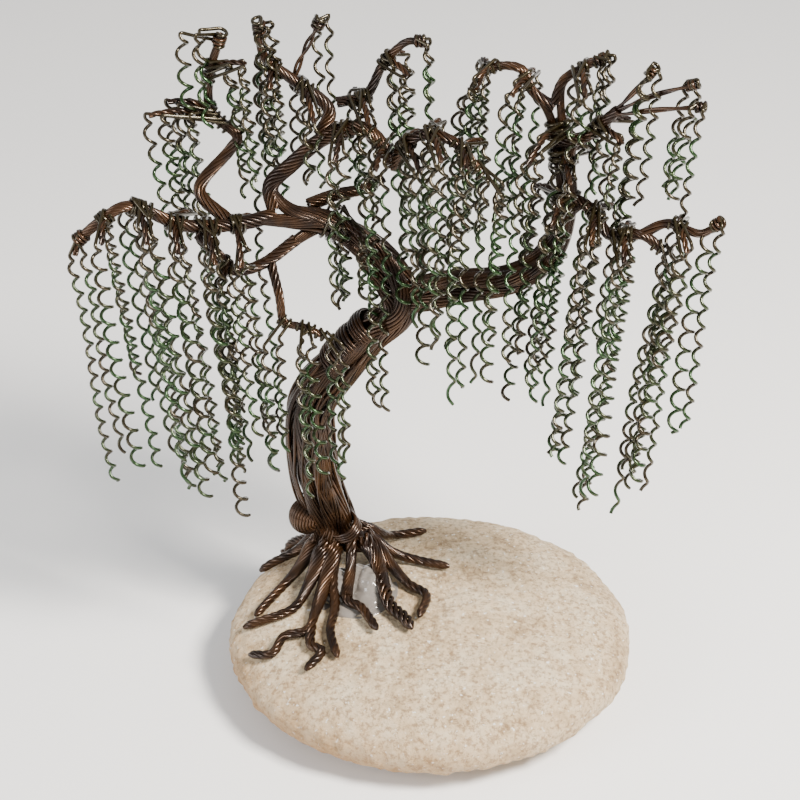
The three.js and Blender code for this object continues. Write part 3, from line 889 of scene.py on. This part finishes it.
ropes = [root_rope(name, i) for i, name in enumerate(ROOTS)]
roots = draw("roots", ROPES, ropes, brown_enamel, step=0.7, sides=7)
print("roots:", len(ROOTS), "ropes,", keep(roots, "brown_wire", "trunk"), "faces")
started = [name for name in ROOTS if name != "front_tip"]  # which forks off front_left
ropes = [leg(name, i) for i, name in enumerate(started)]
legs = draw("root_legs", ROPES, ropes, brown_enamel, step=1.2, sides=6)
print("legs:", len(started), "bundles,", keep(legs, "brown_wire", "trunk"), "faces")

# %% [markdown]
# ## Hanging coils
#
# Wires leave a branch in sprays. Each wire takes a turn or so round the branch, runs out along its
# twig, and drops. It was wound on a thin rod and pulled open, so it falls as a left-handed coil,
# wide at first and often stretched at its foot. A table says where each spray sits on its branch,
# how far each arm reaches, how many wires it carries, and how low they hang. A second table does
# the same for the wires that end at a branch's tip.

# %% Where the sprays are
# For each spray: its branch, the share of the branch's length where it sits, and its arms. Each
# arm has its reach from the branch, its number of wires, and the height of its hem, in mm.
SPRAYS = {
    "spray_far_left_tip": ("far_left", 1.0, [((-1, -3, -3), 2, 68)]),
    "spray_far_left_outer": ("far_left", 0.76, [((0, -9, -2), 2, 72), ((1, 9, -4), 2, 84)]),
    "spray_left_outer": ("far_left", 0.56, [((3, -12, -3), 4, 62), ((-4, 10, -5), 2, 60)]),
    "spray_left_middle": ("far_left", 0.44, [((2, -10, -3), 3, 64), ((3, 11, -4), 2, 58)]),
    "spray_left_inner": ("far_left", 0.32, [((3, -13, -3), 4, 60)]),
    "spray_left_last": ("far_left", 0.2, [((2, -14, -4), 2, 72), ((3, 10, -4), 2, 60)]),
    "spray_hook": ("hook", 0.62, [((0, -6, -1), 3, 80)]),
    "spray_upper_left_1": ("s_branch", 0.68, [((-10, -2, 3), 3, 112)]),
    "spray_upper_left_2": ("s_branch", 0.62, [((-16, -6, 4), 4, 122)]),
    "spray_top_left_side": ("s_branch", 0.86, [((9, -5, 4), 4, 134)]),
    "spray_crown_left": ("crown_left", 0.66, [((0, -9, -2), 3, 144), ((-4, 8, -2), 2, 136)]),
    "spray_crown_front": ("crown_left", 0.42, [((3, -13, -3), 3, 139), ((-2, 9, -2), 2, 134)]),
    "spray_crown_right_front": (
        "crown_right", 0.2, [((2, -13, -1), 4, 131), ((-2, 8, -2), 2, 132)],
    ),
    "spray_crown_right_side": ("crown_right", 0.55, [((5, -7, -1), 3, 134), ((4, 7, -2), 2, 134)]),
    "spray_loop": ("crown_loop", 0.62, [((-2, -14, -1), 3, 113)]),
    "spray_fork": ("crown_loop", 0.93, [((-2, -14, 2), 3, 84)]),
    "spray_left_limb": ("left_limb", 0.68, [((9, -12, 1), 3, 112)]),
    "spray_arch_1": ("arch", 0.28, [((3, -11, -1), 3, 116), ((3, 10, -2), 2, 112)]),
    "spray_arch_2": ("arch", 0.55, [((2, -12, -1), 3, 104), ((2, 10, -2), 2, 113)]),
    "spray_arch_3": ("arch", 0.8, [((1, -8, -1), 3, 96), ((5, 7, -2), 2, 129)]),
    "spray_right_inner_1": ("right_inner", 0.38, [((-4, -9, 0), 3, 126), ((2, 8, -2), 2, 128)]),
    "spray_right_inner_2": ("right_inner", 0.74, [((-3, -6, 0), 3, 122), ((-2, 8, -2), 2, 124)]),
    "spray_right_limb_1": ("right_limb", 0.93, [((-8, -17, -1), 3, 92), ((3, 10, -3), 2, 120)]),
    "spray_right_limb_2": ("right_limb", 0.83, [((1, -14, 0), 3, 90), ((8, 9, -3), 2, 106)]),
    "spray_right_limb_3": ("right_limb", 0.68, [((-4, -14, 0), 3, 92), ((-7, 11, -3), 2, 104)]),
    "spray_right_top": ("right_top", 0.6, [((0, -13, -1), 3, 151), ((5, 8, -2), 2, 142)]),
    "spray_right_outer": ("right_outer", 0.72, [((5, -7, -1), 3, 143), ((8, 7, -2), 2, 134)]),
    "spray_right_low_1": ("right_low", 0.3, [((-2, -13, -1), 4, 80), ((5, 9, -3), 2, 102)]),
    "spray_right_low_2": ("right_low", 0.62, [((-1, -11, -1), 4, 66), ((2, 9, -2), 2, 92)]),
    "spray_right_low_3": ("right_low_end", 0.45, [((1, -9, -2), 3, 72), ((2, 9, -3), 2, 88)]),
}
# The same for the wires at the branches' tips, in the node that each branch belongs to.
TIPS = {
    "hanging": [
        ("hanging", 0.52, (-4, -5, -4), 2, 70), ("hanging", 0.78, (0, -8, -1), 3, 66),
        ("hanging", 1.0, (4, -4, -2), 3, 66),
    ],
    "s_branch": [("s_branch", 1.0, (-8, -5, 3), 3, 152)],
    "crown_left": [
        ("crown_left", 1.0, (3, -2, 1), 3, 132), ("crown_middle", 1.0, (1, 3, 1), 2, 150),
    ],
    "crown_right": [("crown_right", 1.0, (2, -1, 0), 2, 155)],
    "arch": [("arch", 1.0, (6, -5, -3), 3, 98)],
    "right_inner": [("right_inner", 1.0, (-3, 0, -3), 2, 117)],
    "right_top": [("right_top", 1.0, (2, -2, 1), 3, 148)],
    "right_outer": [
        ("spoke_up", 1.0, (0, -2, 0), 3, 136), ("spoke_middle", 1.0, (0, 2, 0), 2, 140),
        ("spoke_low", 1.0, (-2, -2, 0), 2, 141),
    ],
    "right_low": [
        ("right_low", 1.0, (2, -3, -2), 3, 64), ("right_low_end", 1.0, (-1, -1, 0), 2, 88),
    ],
}
print("sprays:", len(SPRAYS), "and", sum(len(tips) for tips in TIPS.values()), "tips")

# %% [markdown]
# ## The way of one wire
#
# A wire starts round the branch, because that is how it holds on. Its coil is a straight drop with
# a swing and a turn. The turn grows with the drop divided by the pitch, and where the coil was
# stretched the pitch grows and the swing shrinks. A real spiral modifier could do it, but a swing
# and a turn at every point let each coil vary along its length. The outer coils lean a little
# towards the trunk, as their own spring pulls them.

# %% The sizes of a coil
PITCH, PITCH_SPREAD = 5.3, 0.6  # drop of one turn, mm
SWING, SWING_SPREAD, WIDE_SWING = 0.98, 0.2, 0.6  # every fifth wire was wound on a wider rod
STRETCH, STRETCH_FROM = 0.35, 0.72  # a foot is pulled open this much, from this share of the drop
HEM_SPREAD = 9  # a wire ends up to so far above or below its spray's hem, mm
TREE_MIDDLE, TREE_HALF = -10, 55  # where the lean changes sides, and where it is full, mm
LEAN = 0.09  # the outer coils lean this much towards the trunk
WANDER = 0.015  # and every coil this much at random
ARCH = 0.4  # how much a twig arches, as a share of its length
FIRST_TURN = 0.85  # how far round its branch a wire goes
FADE = 9  # over this drop the enamel turns from brown to green, mm
print("coils:", round(2 * (SWING + WIRE), 1), "mm wide, one turn every", PITCH, "mm")

# %% One hanging wire
def start_round(branch, share, aim, slot):
    """The turn that a wire takes round its branch before it leaves for its twig."""
    middle, ahead = place(branch, share), heading(branch, share)
    thick, thin = GIRTH[branch]
    rest = thick + (thin - thick) * share + WIRE * 0.9
    flat = aim - ahead * np.dot(aim, ahead)
    flat /= np.linalg.norm(flat)
    top = np.cross(ahead, flat)
    if top[2] < 0:
        top = -top
    angles = np.linspace(-math.tau * FIRST_TURN, 0, 13)
    points = []
    for n, a in enumerate(angles):
        lift = rest if n > 2 else rest - 0.5
        along = slot + 0.9 * a / math.tau
        points.append(middle + ahead * along + lift * (math.cos(a) * top + math.sin(a) * flat))
    return np.array(points)


def hanging_wire(branch, share, reach, station, side, slot, hem, index):
    """One wire: round the branch, out along the twig, and down in a coil."""
    reach = np.array(reach, float)
    middle = place(branch, share)
    top = middle + reach * station
    top[2] += ARCH * np.linalg.norm(reach) * station * (1 - station)
    across = np.array([-reach[1], reach[0], 0]) / math.hypot(reach[0], reach[1])
    top = top + across * side
    wrap = start_round(branch, share, reach, slot)
    out = top - wrap[-1]
    twig = [wrap[-1] + out * t for t in (0.35, 0.7)]
    foot = hem + HEM_SPREAD * vary(index, 1) * min(1, (top[2] - hem) / 50)
    drop = max(top[2] - foot, 8)
    lead = np.vstack([wrap, twig, top - out * 0.08 + (0, 0, 0.1)])
    lead = even(curve(lead, 4), 0.7)
    z = np.linspace(0, drop, max(6, int(drop / 1.5)))
    pitch = PITCH + PITCH_SPREAD * vary(index, 2)
    swing = SWING + SWING_SPREAD * vary(index, 3) + (WIDE_SWING if index % 5 == 2 else 0)
    stretch = STRETCH * max(vary(index, 4), 0)
    lower = ramp(z, drop * STRETCH_FROM, drop)
    wide = swing * ramp(z, 0, 2.5) * (1 - stretch * lower)
    pitches = pitch * (1 + 1.2 * stretch * lower[1:])
    turns = np.concatenate([[0], np.cumsum(np.diff(z) / pitches)])
    turn = math.atan2(reach[1], reach[0]) + math.tau * turns
    sway = 0.5 * ramp(z, 0, 12)
    lean = LEAN * np.clip((TREE_MIDDLE - top[0]) / TREE_HALF, -1, 1)
    x = top[0] + sway * np.sin(z / 11 + index) + (WANDER * vary(index, 5) + lean) * z
    y = top[1] + sway * np.cos(z / 13 + index * 1.7) + WANDER * z * vary(index, 6)
    fall = np.stack([x, y, top[2] - z], axis=1)
    line = np.vstack([lead, fall])
    idle = np.zeros(len(lead))
    swings = np.concatenate([idle, wide])
    turns = np.concatenate([idle + turn[0], turn])
    tints = np.concatenate([idle, ramp(z, 0, FADE)])
    return wire(line, swings, turns, WIRE * 1.08, tint=tints)


ARM_USED = 0.78  # the wires of an arm leave it along this share of its length
APART, SLOT = 1.4, 1.6  # between the wires beside a twig, and on the branch, mm


def arm_wires(branch, share, reach, count, hem, first):
    """The wires of one arm, spread from its tip back towards the branch."""
    wires = []
    for k in range(count):
        station = 1 - k * (ARM_USED / count)
        side = APART if k % 2 else -APART
        slot = (k - (count - 1) / 2) * SLOT + (0.8 if reach[1] > 0 else 0)
        wires.append(hanging_wire(branch, share, reach, station, side, slot, hem, first + k))
    return wires


sample = hanging_wire("arch", 0.28, (3, -11, -1), 1, 0, 0, 116, 1)
print("one wire:", round(lengths(sample["line"])[-1]), "mm from its branch to its foot, uncoiled")

# %% [markdown]
# ## Twigs and knots
#
# Under its hanging wires each arm is a thin brown rope of three, which comes out of the branch and
# stops just short of the last coil. At a branch's cut tip the last wire is wound round the rest two
# or three times, which keeps it from coming open.

# %% Twigs and knots
TWIG = 0.48  # how far a twig's wires lie from its middle, mm
TWIG_WIRES, TWIG_TWIST = 3, 7  # and how long one turn of them is, mm
KNOT_TURNS, KNOT_PITCH = 2.6, 0.95
KNOTS = {
    "far_left": ("far_left",),
    "s_branch": ("s_branch",),
    "crown_left": ("crown_left", "crown_middle"),
    "crown_right": ("crown_right",),
    "right_top": ("right_top",),
    "right_outer": ("spoke_up", "spoke_middle", "spoke_low"),
    "right_low": ("right_low_end",),
}


def twig(branch, share, reach):
    """The brown rope of an arm, from inside the branch almost to the arm's tip."""
    reach = np.array(reach, float)
    t = np.linspace(0.02, 0.97, 12)
    line = place(branch, share) + reach * t[:, None]
    line[:, 2] += ARCH * np.linalg.norm(reach) * t * (1 - t)
    line = even(line, 0.6)
    swing = TWIG * np.linspace(1, 0.75, len(line))
    return wire(line, swing, math.tau * lengths(line) / TWIG_TWIST, WIRE * 0.95, TWIG_WIRES)


def knot(branch, index):
    """The last turns of a twig's wires round its cut tip."""
    middle, along = place(branch, 0.985), heading(branch, 0.95)
    round_tip = GIRTH[branch][1] + 0.35
    return wire(helix(middle, along, round_tip, KNOT_TURNS, KNOT_PITCH, start=index))


arms = [(branch, share, reach) for branch, share, each in SPRAYS.values() for reach, _, _ in each]
wires = [twig(*arm) for arm in arms]
made = draw("twigs", ROPES, wires, brown_enamel, step=0.6, sides=5)
print("twigs:", len(arms), "arms,", keep(made, "brown_wire", *SPRAYS), "faces")
knotted = [branch for branches in KNOTS.values() for branch in branches]
wires = [knot(branch, i) for i, branch in enumerate(knotted)]
made = draw("knots", COILS, wires, brown_enamel, step=0.5, sides=6)
print("knots:", len(knotted), "tips,", keep(made, "brown_wire", *KNOTS), "faces")

# %% [markdown]
# ## All the hanging wires
#
# The wires are drawn in three pieces, one for each side of the tree and one for the crown, so that
# no piece grows too heavy to handle.

# %% Draw the hanging wires
SIDES = {
    "left_coils": ("far_left", "hook", "hanging", "s_branch"),
    "crown_coils": ("crown_left", "crown_middle", "crown_right", "crown_loop", "left_limb", "arch"),
    "right_coils": (
        "right_inner", "right_limb", "right_top", "right_outer", "spoke_up", "right_low",
        "right_low_end",
    ),
}
groups = {}
for node, (branch, share, each) in SPRAYS.items():
    groups[node] = [(branch, share, *arm) for arm in each]
groups |= TIPS
number = 0
for side, branches in SIDES.items():
    nodes = [node for node, arms in groups.items() if arms[0][0] in branches]
    wires = []
    for node in nodes:
        for branch, share, reach, count, hem in groups[node]:
            wires += arm_wires(branch, share, reach, count, hem, number + len(wires))
    number += len(wires)
    made = draw(side, COILS, wires, green_enamel, step=0.38, sides=5)
    faces = keep(made, "green_wire", *nodes)
    print(side + ":", len(wires), "wires on", len(nodes), "nodes,", faces, "faces")

# %% [markdown]
# ## The pebble
#
# A river pebble of pale, grainy stone: a flattened dome above and a rounder belly below, worn flat
# where it stands. Water has left shallow lumps and pits in it. They are moved into the mesh, so
# that they also show at its edge. A sum of slanting waves in many directions makes them, because
# it has no seam.

# %% The pebble's worn form
WAVES = {22: 0.5, 9: 0.24, 5: 0.2, 3.2: 0.2, 2.2: 0.14}  # depth of the lumps for each width, mm
WAVES_EACH = 12
RECESS = 0.35  # the worn surface stays so far inside the full form, mm


def weathered(points, seed=7):
    """The points moved in and out by the waves, except where the stone stands."""
    random = np.random.default_rng(seed)
    depth = np.zeros(len(points))
    for wavelength, size in WAVES.items():
        for _ in range(WAVES_EACH):
            way = random.normal(size=3)
            way *= math.tau / wavelength / np.linalg.norm(way)
            depth += size / 5 * np.sin(points @ way + random.uniform(0, math.tau))
    inward = points - np.array([0, 0, STONE["waist"]])
    inward /= np.linalg.norm(inward, axis=1)[:, None]
    worn = ramp(points[:, 2], 0.3, 2.5)
    return points - inward * ((depth + RECESS) * worn)[:, None]


def ring_faces(rings, around, first=0, flip=False):
    """Four-sided faces between rings of points that follow one another."""
    faces = []
    for ring in range(rings - 1):
        a = first + ring * around + np.arange(around)
        b = first + ring * around + (np.arange(around) + 1) % around
        corners = [a, a + around, b + around, b] if flip else [a, b, b + around, a + around]
        faces += np.stack(corners, axis=1).tolist()
    return faces


def pebble_mesh(around=400, up=190):
    """Rings of points from the top of the stone to its underside, closed at both ends."""
    angle = np.linspace(0, math.tau, around, endpoint=False)
    tilt = np.linspace(0, math.pi, up + 1)[1:-1]
    share = np.sin(tilt)[:, None] * np.ones(around)
    rise = np.sign(np.cos(tilt))[:, None] * dome(share)
    z = STONE["waist"] + rise * np.where(rise > 0, STONE["crown"], STONE["belly"])
    x = share * np.cos(angle) * STONE["length"] / 2
    y = share * np.sin(angle) * STONE["width"] / 2
    z = np.maximum(z, 0)
    rings = weathered(np.stack([x, y, z], axis=-1).reshape(-1, 3))
    top, bottom = [0, 0, STONE["waist"] + STONE["crown"]], [0, 0, 0]
    faces = ring_faces(up - 1, around, flip=True)
    last = (up - 2) * around
    for j in range(around):
        k = (j + 1) % around
        faces.append([j, k, len(rings)])
        faces.append([last + k, last + j, len(rings) + 1])
    return np.vstack([rings, [top, bottom]]), faces


def solid(name, points, faces, material):
    """A smooth-shaded mesh object from points in millimetres."""
    mesh = bpy.data.meshes.new(name)
    mesh.from_pydata((points * MM).tolist(), [], faces)
    mesh.polygons.foreach_set("use_smooth", [True] * len(mesh.polygons))
    mesh.materials.append(material)
    made = bpy.data.objects.new(name, mesh)
    bpy.context.scene.collection.objects.link(made)
    return made


stone_points, stone_faces = pebble_mesh()
print("pebble:", np.round(np.ptp(stone_points, axis=0), 1), "mm long, wide and thick")

# %% [markdown]
# ## The pebble's stone
#
# The stone is matte, mottled cream and light brown, with dark grains and pale specks that are
# painted glints. Round its lower rim, most of all on the left, away from the key light, a warm,
# dark orange-brown is painted in as shade. Three noises of different sizes make the blotches, the
# grains and the painted glints. The painted shade is masked by height and by side, which a noise
# could not do.

# %% Material for the stone
def stone_material():
    """Mottled, grainy stone with painted glints and a painted shade round its lower rim."""
    material, nodes, links, shader = new_material("river_stone")
    where = nodes.new("ShaderNodeTexCoord")

    def noise(scale, detail, rough=0.6):
        node = nodes.new("ShaderNodeTexNoise")
        node.inputs["Scale"].default_value = scale
        node.inputs["Detail"].default_value = detail
        node.inputs["Roughness"].default_value = rough
        links.new(where.outputs["Object"], node.inputs["Vector"])
        return node.outputs["Fac"]

    def ranged(source, start, end, low=0.0, high=1.0):
        node = nodes.new("ShaderNodeMapRange")
        ends = {"From Min": start, "From Max": end, "To Min": low, "To Max": high}
        for name, value in ends.items():
            node.inputs[name].default_value = value
        links.new(source, node.inputs["Value"])
        return node.outputs["Result"]

    def shades(source, *stops):
        node = nodes.new("ShaderNodeValToRGB")
        while len(node.color_ramp.elements) < len(stops):
            node.color_ramp.elements.new(0.5)
        for element, (position, colour) in zip(node.color_ramp.elements, stops):
            element.position = position
            element.color = (*colour, 1)
        links.new(source, node.inputs["Fac"])
        return node.outputs["Color"]

    def mixed(kind, fac, first, second):
        node = nodes.new("ShaderNodeMix")
        node.data_type = "RGBA"
        node.blend_type = kind
        if isinstance(fac, float):
            node.inputs["Factor"].default_value = fac
        else:
            links.new(fac, node.inputs["Factor"])
        links.new(first, node.inputs["A"])
        if isinstance(second, tuple):
            node.inputs["B"].default_value = (*second, 1)
        else:
            links.new(second, node.inputs["B"])
        return node.outputs["Result"]

    brown, cream, pale = (0.44, 0.31, 0.17), (0.70, 0.54, 0.34), (0.80, 0.67, 0.47)
    dark, none, full = (0.36, 0.27, 0.19), (0, 0, 0), (1, 1, 1)
    blotches = shades(noise(110, 9, 0.7), (0.34, brown), (0.48, cream), (0.64, pale))
    grain = shades(noise(700, 5, 0.8), (0.40, dark), (0.52, full))
    colour = mixed("MULTIPLY", 0.75, blotches, grain)
    # Painted glints: pale specks mixed into the stone's colour.
    painted_glints = shades(noise(900, 2, 0.5), (0.66, none), (0.72, full))
    colour = mixed("MIX", painted_glints, colour, (0.92, 0.89, 0.84))
    # Painted shade: a warm, dark orange-brown mixed in round the lower rim, stronger to the left,
    # away from the key light.
    axes = nodes.new("ShaderNodeSeparateXYZ")
    links.new(where.outputs["Object"], axes.inputs["Vector"])
    painted_rim_shade = nodes.new("ShaderNodeMath")
    painted_rim_shade.operation = "MULTIPLY"
    links.new(ranged(axes.outputs["Z"], 21 * MM, 8 * MM), painted_rim_shade.inputs[0])
    links.new(ranged(axes.outputs["X"], 35 * MM, -30 * MM, 0.15, 0.85), painted_rim_shade.inputs[1])
    colour = mixed("MIX", painted_rim_shade.outputs[0], colour, (0.34, 0.17, 0.05))
    links.new(colour, shader.inputs["Base Color"])
    shader.inputs["Roughness"].default_value = 0.7
    bump = nodes.new("ShaderNodeBump")
    bump.inputs["Strength"].default_value = 1.0
    bump.inputs["Distance"].default_value = 1.8 * MM
    links.new(noise(260, 9, 0.75), bump.inputs["Height"])
    links.new(bump.outputs["Normal"], shader.inputs["Normal"])
    return material


pebble = solid("pebble_stone", stone_points, stone_faces, stone_material())
print("pebble:", keep(pebble, "stone", "pebble"), "faces")

# %% [markdown]
# ## Hot glue
#
# A clear glue stick was melted under the trunk's foot. Set, it is greyish and translucent, with
# soft lumps and hard little highlights, and a thin film of it has run forward. The lumps could be
# balls joined together, but a height over the stone keeps the glue on the stone everywhere.

# %% The glue's lumps
def glue_material():
    """Greyish, slightly cloudy and glossy."""
    material, *_, shader = new_material("set_hot_glue")
    shader.inputs["Base Color"].default_value = (0.20, 0.18, 0.16, 1)
    shader.inputs["Roughness"].default_value = 0.14
    shader.inputs["Subsurface Weight"].default_value = 0.3
    shader.inputs["Subsurface Radius"].default_value = (2 * MM, 2 * MM, 2 * MM)
    shader.inputs["Coat Weight"].default_value = 0.5
    return material


# Each lump's middle, its half length and half width, and its height, in millimetres.
LUMPS = [
    (-15.5, 7.0, 5.2, 6.5, 5.0),
    (-24.0, 6.0, 4.2, 7.0, 4.6),
    (-19.5, 8.5, 5.5, 5.5, 4.2),
    (-21.5, -1.5, 4.2, 4.4, 1.3),
    (-16, 1.5, 4.5, 4.5, 2.2),
]
PAD_MIDDLE, PAD_HALF = (-19.5, 4.5), (11, 10.8)
RIPPLE = 0.07  # height of the small ripples, as a share of a lump's height
SUNK, UNDER = 0.15, 0.5  # how far the pad's edge and its underside lie below the stone's surface


def glue_height(x, y):
    """How high the glue stands over the stone: the highest of its lumps, with small ripples."""
    height = np.zeros_like(x)
    for middle_x, middle_y, half_x, half_y, tall in LUMPS:
        reach = ((x - middle_x) / half_x) ** 2 + ((y - middle_y) / half_y) ** 2
        height = np.maximum(height, tall * np.sqrt(np.clip(1 - reach, 0, 1)))
    return height * (1 + RIPPLE * np.sin(x * 1.7 + y) * np.cos(y * 1.9))


def glue_mesh(around=96, out=30):
    """A closed skin: rings of points over the lumps, and the same rings again on the stone."""
    angle = np.linspace(0, math.tau, around, endpoint=False)
    rings = []
    for share in np.linspace(1, 1 / out, out):
        x = PAD_MIDDLE[0] + PAD_HALF[0] * share * np.cos(angle)
        y = PAD_MIDDLE[1] + PAD_HALF[1] * share * np.sin(angle)
        rings.append(np.stack([x, y], axis=1))
    flat = np.concatenate(rings)
    base = stone_top(flat[:, 0], flat[:, 1])
    top = np.column_stack([flat, base - SUNK + glue_height(flat[:, 0], flat[:, 1])])
    bottom = np.column_stack([flat, base - UNDER])
    n = len(flat)
    faces = ring_faces(out, around) + ring_faces(out, around, first=n, flip=True)
    last = (out - 1) * around
    faces.append([last + j for j in range(around)])
    faces.append([n + last + around - 1 - j for j in range(around)])
    for j in range(around):
        k = (j + 1) % around
        faces.append([k, j, n + j, n + k])
    return np.vstack([top, bottom]), faces


glue = solid("glue_pad", *glue_mesh(), glue_material())
print("glue:", keep(glue, "hot_glue", "glue"), "faces")

# %% [markdown]
# ## Studio
#
# A pale, flat floor, one soft light from the upper right, a weaker fill from the left, and an even
# pale surround for the metal to reflect. Enamelled wire shows its form by its highlights, so the
# main light is small enough to leave sharp ones. The camera looks down at 36 degrees.

# %% Floor, lights and camera
MIDDLE = (0, 0, 80 * MM)  # what the lights aim at
FLOOR, SURROUND = 0.88, 0.65  # how pale the floor is, and how bright the surround
CAMERA_AT = (-8 * MM, -410.7 * MM, 388.6 * MM)
LOOKS_DOWN = 36  # degrees
LENS, SENSOR = 93.24, 36


def studio():
    """The floor and the surround."""
    bpy.ops.mesh.primitive_plane_add(size=6, location=(0, 0, 0))
    floor = bpy.context.object
    floor.name = "studio_floor"
    material, *_, shader = new_material("studio_white")
    shader.inputs["Base Color"].default_value = (FLOOR, FLOOR, FLOOR, 1)
    shader.inputs["Roughness"].default_value = 0.9
    floor.data.materials.append(material)
    world = bpy.data.worlds.new("studio")
    world.use_nodes = True
    surround = world.node_tree.nodes["Background"]
    surround.inputs["Color"].default_value = (1, 1, 1, 1)
    surround.inputs["Strength"].default_value = SURROUND
    bpy.context.scene.world = world


def lamp(name, where, size, power, colour):
    """A square soft light that shines on the middle of the tree."""
    light = bpy.data.lights.new(name, "AREA")
    light.size = size
    light.energy = power
    light.color = colour
    made = bpy.data.objects.new(name, light)
    bpy.context.scene.collection.objects.link(made)
    made.location = where
    aim = Vector(MIDDLE) - Vector(where)
    made.rotation_euler = aim.to_track_quat("-Z", "Y").to_euler()


def camera():
    """The camera, level from side to side and tilted down."""
    data = bpy.data.cameras.new("camera")
    data.lens = LENS
    data.sensor_width = SENSOR
    made = bpy.data.objects.new("camera", data)
    bpy.context.scene.collection.objects.link(made)
    made.location = CAMERA_AT
    made.rotation_euler = (math.radians(90 - LOOKS_DOWN), 0, 0)
    bpy.context.scene.camera = made


studio()
# Each lamp's place and the length of its sides are in metres.
lamp("key", (0.32, -0.22, 0.55), size=0.16, power=13.0, colour=(1.0, 0.94, 0.86))
lamp("fill", (-0.5, -0.3, 0.3), size=0.3, power=2.5, colour=(0.95, 0.97, 1.0))
camera()
print("studio ready:", len(bpy.data.lights), "lights")
